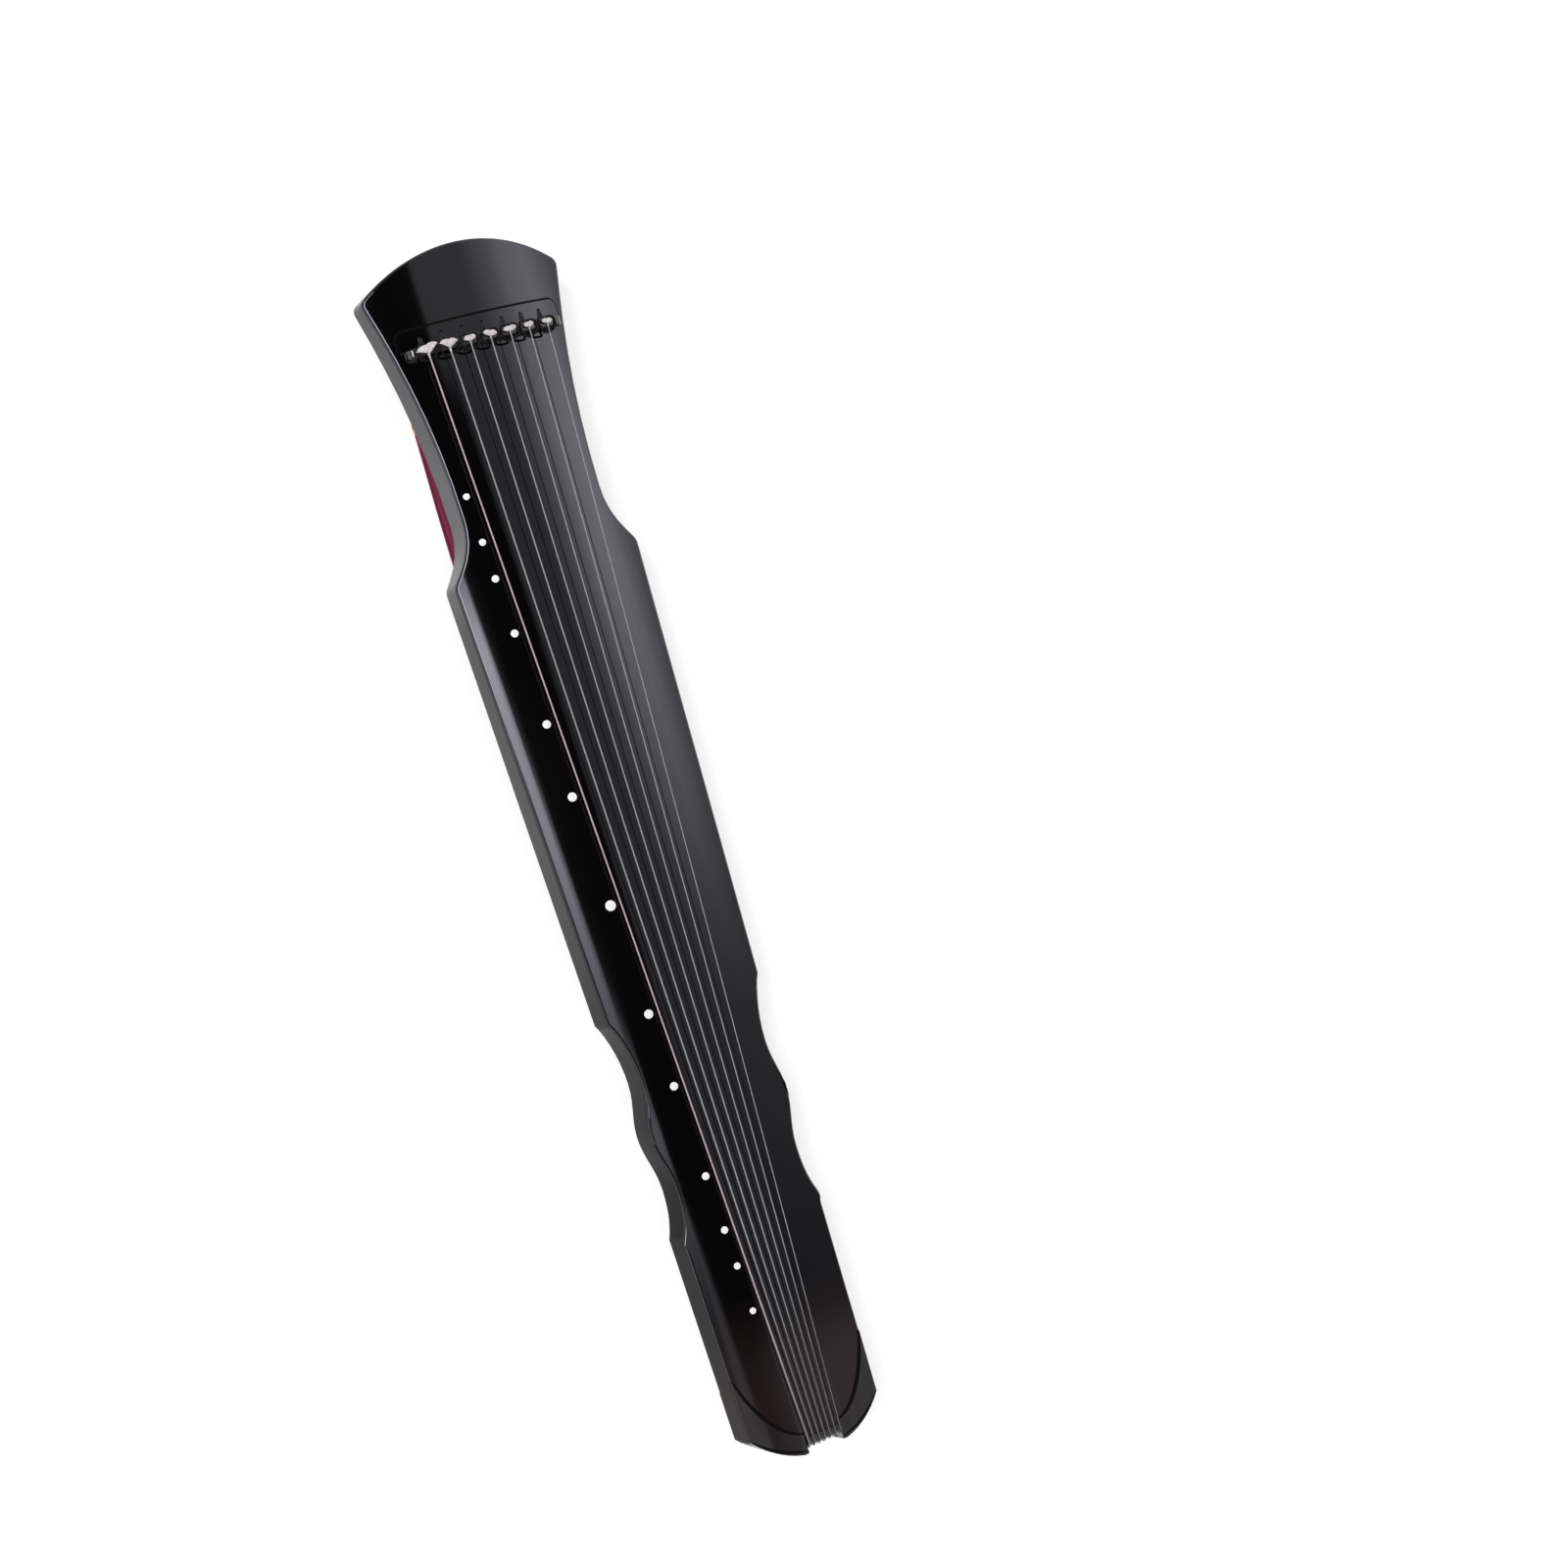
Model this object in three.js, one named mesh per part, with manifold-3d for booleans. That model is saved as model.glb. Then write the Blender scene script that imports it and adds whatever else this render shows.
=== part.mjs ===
// A seven string guqin that lies face up on its goose feet and peg guards.
// Millimetres. X runs to the head, Y to the side with the markers, Z up out of the face.
import * as THREE from "three";
import { mergeVertices } from "three/addons/utils/BufferGeometryUtils.js";
import Module from "manifold-3d";

const wasm = await Module();
wasm.setup();

// Whole body
const body_length = 1234.5;
const head_width = 212.6;
const foot_height = 28;
const body_thickness = 48;
const bottom_board_thickness = 12;
const face_radius = 284;
const head_corner_radius = 7;
const shoulder_radius = 5;

// Fits: the gap between pieces that touch, and how far a cutter runs past what it cuts
const seat_gap = 0.3;
const overrun = 6;

// Hollow inside the boards
const top_board_thickness = 11;
const side_wall = 10;
const pad_drop = 4.5;
const pad_border = 11;
const round_post_radius = 6;
const square_post_width = 12;

// Sound holes in the back
const sound_hole_width = 33;
const sound_hole_corner_radius = 6;
const long_hole_length = 214;
const short_hole_length = 126;

// Bridge and the strip with the peg holes
const bridge_width = 9;
const bridge_height = 14;
const bridge_span = 163;
const bridge_end_radius = 8;
const strip_width = 19;
const strip_thickness = 2.5;
const strip_span = 170;
const strip_corner_radius = 7;
const silk_hole_radius = 2.2;

// Strings
const string_diameters = [1.6, 1.45, 1.3, 1.2, 1.1, 1, 0.9];
const head_spacing = 21.3;
const tail_spacing = 6;
const back_spacing = 2.1;
const back_bundle_offset = 13;
const knot_radius = 2.1;
const silk_diameter = 2.2;
const strings_on_left_foot = 4;

// Windings on the feet
const turns_on_left_foot = 2;
const turns_on_right_foot = 3;
const least_turn_gap = 0.4;
const foot_lip = 3;

// Markers
const hui_fractions = [
  1 / 8, 1 / 6, 1 / 5, 1 / 4, 1 / 3, 2 / 5, 1 / 2, 3 / 5, 2 / 3, 3 / 4, 4 / 5, 5 / 6, 7 / 8,
];
const hui_diameters = [6.5, 6.8, 7.2, 7.6, 8.2, 9, 10.5, 9, 8.2, 7.6, 7.2, 6.8, 6.5];
const hui_thickness = 1;
const hui_from_string = 6;
const hui_drift = 2.3;

// Pegs
const peg_radius = 9.2;
const peg_end_radius = 7;
const peg_waist_radius = 6.4;
const peg_bore_radius = 2.3;
const peg_slot_clearance = 1.6;
const peg_plate_thickness = 3;

// Peg guards
const guard_inner_width = 143;
const guard_width = 21;
const guard_to_pegs = 10;
const guard_head_inset = 23;

// Tail
const gum_border = 1.2;
const gum_length = 9.5;
const gum_rise = 2.5;
const gum_depth = 18;
const gum_radius = 5;
const gum_crest_inset = 4.5;
const tail_notch_depth = 7;
const lower_gum_drop = 3.4;
const crown_length = 92;
const crown_nose = 19;
const crown_edge_depth = 6;
const crown_rise = 0.7;
const support_thickness = 1.8;
const support_side_length = 78;
const support_middle_length = 39;

// Goose feet
const foot_spacing = 102;
const foot_radius = 13.8;
const foot_end_radius = 11.5;
const foot_collar_radius = 16.5;
const foot_collar_thickness = 2;
const foot_tenon_radius = 8;
const foot_tenon_length = 26;
const foot_pier_radius = 17;

// Tassels, from the thin string's side to the thick string's side
const tassel_cord_lengths = [61, 55, 59, 58, 67, 63, 62];
const tassel_lengths = [540, 546, 556, 582, 558, 562, 560];
const tassel_side_steps = [0, 0, 0, 0, 0, 0.8, 2.6];
const tassel_width = 18.2;
const tassel_height = 11;
const tassel_cap_width = 15;
const tassel_cord_diameter = 2.2;
const tassel_knot_radius = 2.4;
const tassel_knot_width = 7.2;
const tassel_cap_length = 10;
const tassel_band_length = 20;

// Facets of round work
const round_sides = 24;
const lathe_sides = 12;
const tube_sides = 6;
const tassel_sides = 8;
const loop_steps = 24;
const bend_steps = 4;
const arch_steps = 9;
const hole_sides = 10;
const hui_sides = 12;

// Places along the body, as shares of its length from the head
const bridge_share = 0.0834;
const long_hole_share = 0.4294;
const short_hole_share = 0.8469;
const foot_share = 0.7266;
const round_post_share = 0.2919;
const square_post_share = 0.6526;
const chamber_shares = [0.1295, 0.9416];

// Half outline: shares of the body's length from the head, and of half the head's width
const outline_shares = {
  head_corner: [0.0294, 1],
  neck_curve: [[0.0847, 0.8327], [0.1445, 0.7033], [0.2146, 0.7033]],
  shoulder_curve: [[0.2361, 0.7033], [0.2481, 0.809], [0.263, 0.9364]],
  waist_corner: [0.6259, 0.7971],
  waist_curves: [
    [[0.6362, 0.726], [0.6576, 0.6529], [0.6786, 0.6529]],
    [[0.696, 0.6529], [0.7054, 0.724], [0.7213, 0.724]],
    [[0.7383, 0.724], [0.7493, 0.6371], [0.7677, 0.6371]],
    [[0.7851, 0.6371], [0.7956, 0.6618], [0.807, 0.7181]],
  ],
  tail_corner: [0.9761, 0.6766],
  tail_bow: [0.9947, 0.484],
  tail_tip: [1, 0.2302],
};

// Inner edge of a tail crown: shares of its length and of half the tail's width
const crown_curve_shares = [[0.71, 0.9], [0.27, 0.63]];
// Front edge of the tail support: shares of its side length and of half the tail's width
const support_curve_shares = [[0.7, 0.8], [0.5, 0.45]];
// Peg profile: shares of its height, and of its radius
const peg_profile_shares = [
  [0.07, 0.93], [0.25, 1], [0.42, 0.92], [0.55, 0.7], [0.68, 0.72], [0.76, 0.98], [0.92, 0.98],
];
// Tassel skirt: shares of its length, width and height
const skirt_shares = [[0.02, 1, 1], [0.3, 0.97, 0.92], [0.7, 1, 0.85], [0.9, 0.92, 0.75], [1, 0.4, 0.3]];
// How far a guard's foot is drawn in towards its inner edge
const guard_foot_share = 0.72;

// Levels
const underside_z = foot_height;
const seam_z = underside_z + bottom_board_thickness;
const crown_z = underside_z + body_thickness;
const face_centre_z = crown_z - face_radius;
const ceiling_radius = face_radius - top_board_thickness;
const bridge_radius = face_radius + bridge_height;

// Derived places
const half_width = head_width / 2;
const along = (share) => body_length / 2 - body_length * share;
const across = (share) => half_width * share;
const place = ([length_share, width_share]) => new THREE.Vector2(along(length_share), across(width_share));
const bridge_x = along(bridge_share);
const bridge_head_x = bridge_x + bridge_width;
const strip_x = bridge_head_x + seat_gap;
const peg_row_x = strip_x + strip_width / 2;
const foot_x = along(foot_share);
const tail_x = along(1);
const notch_x = tail_x + tail_notch_depth;
const gum_head_x = notch_x + gum_length;
const lane_count = string_diameters.length;
const gum_width = tail_spacing * (lane_count - 1) + gum_border * 2;
const tassel_knot_z = seat_gap + tassel_knot_radius;
const peg_end_z = tassel_knot_z + tassel_knot_radius + seat_gap;

// Height of an arch of the given radius at a place across the body, and the angle that it is at
const arch_z = (radius, y) => face_centre_z + Math.sqrt(radius * radius - y * y);
const arch_angle = (radius, y) => Math.PI / 2 - Math.asin(y / radius);

// Outline of the body

function half_outline() {
  const apex_x = along(0);
  const corner = place(outline_shares.head_corner);
  const head_depth = apex_x - corner.x;
  const head_radius = (corner.y * corner.y + head_depth * head_depth) / (2 * head_depth);
  const corner_angle = Math.asin(corner.y / head_radius);
  const round_angle = head_corner_radius / head_radius;
  const [neck_first, neck_second, neck_end] = outline_shares.neck_curve.map(place);
  const into_neck = neck_first.clone().sub(corner).setLength(head_corner_radius).add(corner);
  const [shoulder_first, shoulder_second, shoulder] = outline_shares.shoulder_curve.map(place);
  const waist = place(outline_shares.waist_corner);
  const into_body = waist.clone().sub(shoulder).setLength(shoulder_radius).add(shoulder);
  const tail_corner = place(outline_shares.tail_corner);
  const tail_bow = place(outline_shares.tail_bow);
  const tail_tip = place(outline_shares.tail_tip);
  const path = new THREE.Path();
  path.absarc(apex_x - head_radius, 0, head_radius, 0, corner_angle - round_angle, false);
  path.quadraticCurveTo(corner.x, corner.y, into_neck.x, into_neck.y);
  path.bezierCurveTo(neck_first.x, neck_first.y, neck_second.x, neck_second.y, neck_end.x, neck_end.y);
  const to_shoulder = shoulder_second.clone().sub(shoulder).setLength(shoulder_radius).add(shoulder);
  path.bezierCurveTo(
    shoulder_first.x, shoulder_first.y, shoulder_second.x, shoulder_second.y, to_shoulder.x, to_shoulder.y,
  );
  path.quadraticCurveTo(shoulder.x, shoulder.y, into_body.x, into_body.y);
  path.lineTo(waist.x, waist.y);
  for (const [first, second, end] of outline_shares.waist_curves.map((curve) => curve.map(place))) {
    path.bezierCurveTo(first.x, first.y, second.x, second.y, end.x, end.y);
  }
  path.lineTo(tail_corner.x, tail_corner.y);
  path.quadraticCurveTo(tail_bow.x, tail_bow.y, tail_tip.x, tail_tip.y);
  path.lineTo(tail_tip.x, 0);
  return path.getPoints(7);
}

const half_points = half_outline();
const other_half = half_points.slice(1, -1).reverse().map((point) => new THREE.Vector2(point.x, -point.y));
const outline_points = [...half_points, ...other_half];

// Half width of the body at a place along it
function half_width_at(x) {
  for (let i = 1; i < half_points.length; i += 1) {
    const before = half_points[i - 1];
    const after = half_points[i];
    if (before.x >= x && after.x <= x && before.x > after.x) {
      const share = (before.x - x) / (before.x - after.x);
      return before.y + (after.y - before.y) * share;
    }
  }
  return 0;
}

// Solids for cutting and joining

function to_solid(geometry) {
  const bare = geometry.clone();
  bare.deleteAttribute("normal");
  bare.deleteAttribute("uv");
  const merged = mergeVertices(bare);
  const mesh = new wasm.Mesh({
    numProp: 3,
    vertProperties: new Float32Array(merged.attributes.position.array),
    triVerts: new Uint32Array(merged.index.array),
  });
  return new wasm.Manifold(mesh);
}

function to_geometry(solid) {
  const mesh = solid.getMesh();
  const geometry = new THREE.BufferGeometry();
  geometry.setAttribute("position", new THREE.BufferAttribute(mesh.vertProperties, 3));
  geometry.setIndex(new THREE.BufferAttribute(mesh.triVerts, 1));
  geometry.computeVertexNormals();
  return geometry;
}

// A flat outline raised from one level to another
function prism_geometry(shape, low, high) {
  const settings = { depth: high - low, bevelEnabled: false, curveSegments: 8 };
  const geometry = new THREE.ExtrudeGeometry(shape, settings);
  geometry.translate(0, 0, low);
  return geometry;
}

const prism = (points, low, high) => to_solid(prism_geometry(new THREE.Shape(points), low, high));

// A cross section, drawn in Y and Z, run along the body
function lengthwise(shape, from_x, to_x) {
  const settings = { depth: to_x - from_x, bevelEnabled: false, curveSegments: arch_steps };
  const geometry = new THREE.ExtrudeGeometry(shape, settings);
  const turn = new THREE.Matrix4().makeBasis(
    new THREE.Vector3(0, 1, 0), new THREE.Vector3(0, 0, 1), new THREE.Vector3(1, 0, 0),
  );
  geometry.applyMatrix4(turn);
  geometry.translate(from_x, 0, 0);
  return geometry;
}

// A section, drawn in X and Z, run across the body and centred on it
function crosswise(shape, width) {
  const geometry = new THREE.ExtrudeGeometry(shape, { depth: width, bevelEnabled: false, curveSegments: 6 });
  geometry.rotateX(Math.PI / 2);
  geometry.translate(0, width / 2, 0);
  return geometry;
}

function box_solid(low, high) {
  const size = new THREE.Vector3().subVectors(high, low);
  const middle = new THREE.Vector3().addVectors(low, high).multiplyScalar(1 / 2);
  const geometry = new THREE.BoxGeometry(size.x, size.y, size.z);
  geometry.translate(middle.x, middle.y, middle.z);
  return to_solid(geometry);
}

function upright_cylinder(radius, x, y, low, high, sides = round_sides) {
  const geometry = new THREE.CylinderGeometry(radius, radius, high - low, sides);
  geometry.rotateX(Math.PI / 2);
  geometry.translate(x, y, (low + high) / 2);
  return geometry;
}

// Everything below an arch of the given radius
function arch_solid(radius) {
  const reach = half_width + overrun;
  const angle = Math.asin(reach / radius);
  const shape = new THREE.Shape();
  shape.moveTo(-reach, 0);
  shape.lineTo(reach, 0);
  shape.absarc(0, face_centre_z, radius, Math.PI / 2 - angle, Math.PI / 2 + angle, false);
  shape.closePath();
  return to_solid(lengthwise(shape, along(1) - overrun, along(0) + overrun));
}

// A bar that lies on the face: a slice between two arches
function arched_bar(inner_radius, outer_radius, from_x, to_x, span) {
  const angle = Math.asin(span / 2 / inner_radius);
  const shape = new THREE.Shape();
  shape.absarc(0, face_centre_z, outer_radius, Math.PI / 2 - angle, Math.PI / 2 + angle, false);
  shape.absarc(0, face_centre_z, inner_radius, Math.PI / 2 + angle, Math.PI / 2 - angle, true);
  shape.closePath();
  return lengthwise(shape, from_x, to_x);
}

// A rectangle with round corners, as an outline
function rounded_rectangle(low_x, high_x, width, corner) {
  const path = new THREE.Path();
  const low_y = -width / 2;
  const high_y = width / 2;
  path.absarc(high_x - corner, high_y - corner, corner, 0, Math.PI / 2, false);
  path.absarc(low_x + corner, high_y - corner, corner, Math.PI / 2, Math.PI, false);
  path.absarc(low_x + corner, low_y + corner, corner, Math.PI, (3 * Math.PI) / 2, false);
  path.absarc(high_x - corner, low_y + corner, corner, (3 * Math.PI) / 2, 2 * Math.PI, false);
  return path.getPoints(3);
}

// A closed skin over a row of rings with equal numbers of points
function skin(rings) {
  const sides = rings[0].length;
  const corners = rings.flat();
  const first_middle = middle_of(rings[0]);
  const last_middle = middle_of(rings[rings.length - 1]);
  const points = [...corners, first_middle, last_middle];
  const first_index = corners.length;
  const last_index = first_index + 1;
  const last_ring = corners.length - sides;
  const faces = [];
  for (let side = 0; side < sides; side += 1) {
    const next = (side + 1) % sides;
    faces.push(first_index, next, side);
    faces.push(last_index, last_ring + side, last_ring + next);
    for (let ring = 0; ring < rings.length - 1; ring += 1) {
      const here = ring * sides;
      const there = here + sides;
      faces.push(here + side, here + next, there + next);
      faces.push(here + side, there + next, there + side);
    }
  }
  const geometry = new THREE.BufferGeometry();
  geometry.setFromPoints(points);
  geometry.setIndex(faces);
  geometry.computeVertexNormals();
  return geometry;
}

function middle_of(ring) {
  const sum = new THREE.Vector3();
  for (const point of ring) {
    sum.add(point);
  }
  return sum.multiplyScalar(1 / ring.length);
}

// A tube along a route, with a radius at each point of it and without any twist
function tube(route, radii, sides = tube_sides) {
  const rings = [];
  let side_way = null;
  for (let i = 0; i < route.length; i += 1) {
    const before = route[Math.max(i - 1, 0)];
    const after = route[Math.min(i + 1, route.length - 1)];
    const forward = new THREE.Vector3().subVectors(after, before).normalize();
    if (side_way === null) {
      const helper = Math.abs(forward.z) > 1 / 2 ? new THREE.Vector3(1, 0, 0) : new THREE.Vector3(0, 0, 1);
      side_way = new THREE.Vector3().crossVectors(helper, forward);
    }
    side_way.addScaledVector(forward, -side_way.dot(forward)).normalize();
    const up_way = new THREE.Vector3().crossVectors(forward, side_way);
    const ring = [];
    for (let side = 0; side < sides; side += 1) {
      const angle = (side / sides) * 2 * Math.PI;
      const point = route[i].clone();
      point.addScaledVector(side_way, Math.cos(angle) * radii[i]);
      point.addScaledVector(up_way, Math.sin(angle) * radii[i]);
      ring.push(point);
    }
    rings.push(ring);
  }
  return skin(rings);
}

// Finishes

const black_lacquer = new THREE.MeshStandardMaterial({ color: 0x15151a, roughness: 0.18, metalness: 0 });
const dark_wood = new THREE.MeshStandardMaterial({ color: 0x241715, roughness: 0.3, metalness: 0 });
const bare_wood = new THREE.MeshStandardMaterial({ color: 0x8a6844, roughness: 0.7, metalness: 0 });
const turned_wood = new THREE.MeshStandardMaterial({ color: 0xb8592c, roughness: 0.4, metalness: 0 });
const mother_of_pearl = new THREE.MeshStandardMaterial({ color: 0xf2efe6, roughness: 0.25, metalness: 0 });
const string_metal = new THREE.MeshStandardMaterial({ color: 0xc9c5c6, roughness: 0.35, metalness: 0.6 });
const black_silk = new THREE.MeshStandardMaterial({ color: 0x1a1518, roughness: 0.6, metalness: 0 });
const crimson_silk = new THREE.MeshStandardMaterial({ color: 0x7a1233, roughness: 0.6, metalness: 0 });

const guqin = new THREE.Group();

function add_piece(name, geometry, material) {
  const mesh = new THREE.Mesh(geometry, material);
  mesh.name = name;
  guqin.add(mesh);
  return mesh;
}

// Lanes of the strings, pegs, loops and tassels, from the thin string (0) to the thick string (6)
const lane_share = (lane) => lane - (lane_count - 1) / 2;
const head_lane_y = (lane) => lane_share(lane) * head_spacing;
const tail_lane_y = (lane) => lane_share(lane) * tail_spacing;
const string_number = (lane) => lane_count - lane;
const lanes = string_diameters.map((diameter, index) => index);

// Gums: the bars that the strings turn over at the tail

const gum_top_z = crown_z + gum_rise;
const gum_bottom_z = gum_top_z - gum_depth;
const lower_gum_z = underside_z - lower_gum_drop;

function gum_geometry(low_z, high_z, round_at_top) {
  const shape = new THREE.Shape();
  if (round_at_top) {
    shape.moveTo(notch_x, low_z);
    shape.lineTo(gum_head_x, low_z);
    shape.lineTo(gum_head_x, high_z);
    shape.absarc(notch_x + gum_radius, high_z - gum_radius, gum_radius, Math.PI / 2, Math.PI, false);
  } else {
    shape.moveTo(notch_x, high_z);
    shape.absarc(notch_x + gum_radius, low_z + gum_radius, gum_radius, Math.PI, (3 * Math.PI) / 2, false);
    shape.lineTo(gum_head_x, low_z);
    shape.lineTo(gum_head_x, high_z);
  }
  shape.closePath();
  return crosswise(shape, gum_width);
}

// Room for a gum, or for the notch that the strings run down in
function tail_notch(low_z, high_z, depth_x) {
  const reach = gum_width / 2 + seat_gap;
  const low = new THREE.Vector3(tail_x - overrun, -reach, low_z);
  const high = new THREE.Vector3(depth_x, reach, high_z);
  return box_solid(low, high);
}

// The notch floor stands back from the gums, which the strings touch first
const notch_floor_x = notch_x + seat_gap;

// Tail crowns

const tail_half_width = across(outline_shares.tail_corner[1]);
const crown_floor_z = arch_z(face_radius, tail_half_width) - crown_edge_depth;

// Region of one crown, with the inner edge moved towards the head by the margin
function crown_region(side, margin, nose_y) {
  const [first, second] = crown_curve_shares.map(([length_share, width_share]) => (
    new THREE.Vector2(tail_x + crown_length * length_share, tail_half_width * width_share)
  ));
  const start_x = tail_x + crown_length + margin;
  const nose_x = tail_x + crown_nose + margin;
  const outside_y = half_width;
  const path = new THREE.Path();
  path.moveTo(tail_x - overrun, nose_y);
  path.lineTo(nose_x, nose_y);
  path.bezierCurveTo(second.x + margin, second.y, first.x + margin, first.y, start_x, tail_half_width);
  path.lineTo(start_x, outside_y);
  path.lineTo(tail_x - overrun, outside_y);
  path.closePath();
  const points = path.getPoints(8).slice(0, -1);
  return points.map((point) => new THREE.Vector2(point.x, point.y * side));
}

function crown_solid(side) {
  const nose_y = gum_width / 2 + seat_gap;
  const region = prism(crown_region(side, 0, nose_y), crown_floor_z, crown_z + overrun);
  const inside = prism(outline_points, crown_floor_z - overrun, crown_z + overrun + overrun);
  return region.intersect(inside).intersect(arch_solid(face_radius + crown_rise));
}

// Hollow of the top board

const chamber_head_x = along(chamber_shares[0]);
const chamber_tail_x = along(chamber_shares[1]);
const foot_y = foot_spacing / 2;
const tenon_top_z = underside_z + foot_tenon_length;
const pad_z = arch_z(ceiling_radius, sound_hole_width / 2 + pad_border) - pad_drop;

// Outline of a sound hole, grown by a border
function sound_hole_points(share, length, border) {
  const reach = length / 2 + border;
  const width = sound_hole_width + border * 2;
  const corner = sound_hole_corner_radius + border;
  return rounded_rectangle(along(share) - reach, along(share) + reach, width, corner);
}

function chamber_solid() {
  const inside_points = half_points.filter((point) => point.x < chamber_head_x && point.x > chamber_tail_x);
  const right = [new THREE.Vector2(chamber_head_x, half_width_at(chamber_head_x)), ...inside_points];
  right.push(new THREE.Vector2(chamber_tail_x, half_width_at(chamber_tail_x)));
  const upper = right.map((point) => new THREE.Vector2(point.x, point.y - side_wall));
  const lower = [...upper].reverse().map((point) => new THREE.Vector2(point.x, -point.y));
  let chamber = prism([...upper, ...lower], seam_z - overrun, crown_z);
  chamber = chamber.intersect(arch_solid(ceiling_radius));
  for (const side of [1, -1]) {
    const pier = upright_cylinder(foot_pier_radius, foot_x, foot_y * side, seam_z - overrun, crown_z);
    chamber = chamber.subtract(to_solid(pier));
  }
  const holes = [[long_hole_share, long_hole_length], [short_hole_share, short_hole_length]];
  for (const [share, length] of holes) {
    chamber = chamber.subtract(prism(sound_hole_points(share, length, pad_border), pad_z, crown_z));
  }
  return chamber;
}

// Top board

const plate_top_z = seam_z + seat_gap + peg_plate_thickness;
const peg_slot_radius = peg_radius + peg_slot_clearance;
const peg_slot_reach = (head_spacing * (lane_count - 1)) / 2;

function peg_slot_points(margin) {
  const radius = peg_slot_radius + margin;
  const path = new THREE.Path();
  path.absarc(peg_row_x, peg_slot_reach, radius, 0, Math.PI, false);
  path.absarc(peg_row_x, -peg_slot_reach, radius, Math.PI, 2 * Math.PI, false);
  return path.getPoints(5);
}

// Places of the markers, each square to the arched face
function hui_place(index) {
  const lane = lane_count - 1;
  const share = hui_fractions[index];
  const string_y = head_lane_y(lane) + (tail_lane_y(lane) - head_lane_y(lane)) * share;
  const y = string_y + hui_from_string + hui_drift * share;
  const x = bridge_x + (notch_x + gum_crest_inset - bridge_x) * share;
  return { x, tilt: Math.asin(y / face_radius) };
}

// A round plug set into the face, from one radius of the arch to another
function hui_geometry(index, radius, inner, outer) {
  const { x, tilt } = hui_place(index);
  const geometry = new THREE.CylinderGeometry(radius, radius, outer - inner, hui_sides);
  geometry.rotateX(Math.PI / 2);
  geometry.translate(0, 0, (inner + outer) / 2);
  geometry.rotateX(-tilt);
  geometry.translate(x, 0, face_centre_z);
  return geometry;
}

const hui_floor_radius = face_radius - hui_thickness;

function top_board() {
  const blank = prism(outline_points, seam_z + seat_gap, crown_z + overrun);
  let board = blank.intersect(arch_solid(face_radius));
  board = board.subtract(chamber_solid());
  board = board.subtract(prism(peg_slot_points(seat_gap), seam_z, plate_top_z + seat_gap));
  for (const lane of lanes) {
    const high = crown_z + overrun;
    const hole = upright_cylinder(silk_hole_radius, peg_row_x, head_lane_y(lane), seam_z, high, hole_sides);
    board = board.subtract(to_solid(hole));
  }
  for (const side of [1, -1]) {
    const radius = foot_tenon_radius + seat_gap;
    const high = tenon_top_z + seat_gap;
    const socket = upright_cylinder(radius, foot_x, foot_y * side, seam_z, high, lathe_sides);
    board = board.subtract(to_solid(socket));
    const nose_y = gum_width / 2;
    const recess = crown_region(side, seat_gap, nose_y);
    board = board.subtract(prism(recess, crown_floor_z - seat_gap, crown_z + overrun));
  }
  board = board.subtract(tail_notch(seam_z - overrun, crown_z + overrun, notch_floor_x));
  board = board.subtract(tail_notch(gum_bottom_z - seat_gap, crown_z + overrun, gum_head_x + seat_gap));
  for (const index of hui_fractions.keys()) {
    const radius = hui_diameters[index] / 2 + seat_gap;
    const recess = hui_geometry(index, radius, hui_floor_radius - seat_gap, face_radius + overrun);
    board = board.subtract(to_solid(recess));
  }
  return board;
}

// Bottom board

function bottom_board() {
  const shape = new THREE.Shape(outline_points);
  shape.holes.push(new THREE.Path(sound_hole_points(long_hole_share, long_hole_length, 0)));
  shape.holes.push(new THREE.Path(sound_hole_points(short_hole_share, short_hole_length, 0)));
  shape.holes.push(new THREE.Path(peg_slot_points(0)));
  const board = to_solid(prism_geometry(shape, underside_z, seam_z));
  let cut = board.subtract(tail_notch(underside_z - overrun, seam_z + overrun, gum_head_x + seat_gap));
  for (const side of [1, -1]) {
    const radius = foot_tenon_radius + seat_gap;
    const low = underside_z - overrun;
    const high = seam_z + overrun;
    const socket = upright_cylinder(radius, foot_x, foot_y * side, low, high, lathe_sides);
    cut = cut.subtract(to_solid(socket));
  }
  return cut;
}

// Bridge: a bar with round shoulders that stands on the face

function bridge_geometry() {
  const foot_radius_of_arch = face_radius + seat_gap;
  const reach = bridge_span / 2;
  const top_reach = reach - bridge_end_radius;
  const top_z = arch_z(bridge_radius, top_reach);
  const foot_from = arch_angle(foot_radius_of_arch, -reach);
  const foot_to = arch_angle(foot_radius_of_arch, reach);
  const top_from = arch_angle(bridge_radius, top_reach);
  const top_to = arch_angle(bridge_radius, -top_reach);
  const shape = new THREE.Shape();
  shape.absarc(0, face_centre_z, foot_radius_of_arch, foot_from, foot_to, true);
  shape.lineTo(reach, top_z - bridge_end_radius);
  shape.quadraticCurveTo(reach, top_z, top_reach, top_z);
  shape.absarc(0, face_centre_z, bridge_radius, top_from, top_to, false);
  shape.quadraticCurveTo(-reach, top_z, -reach, top_z - bridge_end_radius);
  shape.closePath();
  return lengthwise(shape, bridge_x, bridge_head_x);
}

// Strip with the peg holes, and the plate above the pegs

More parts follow.
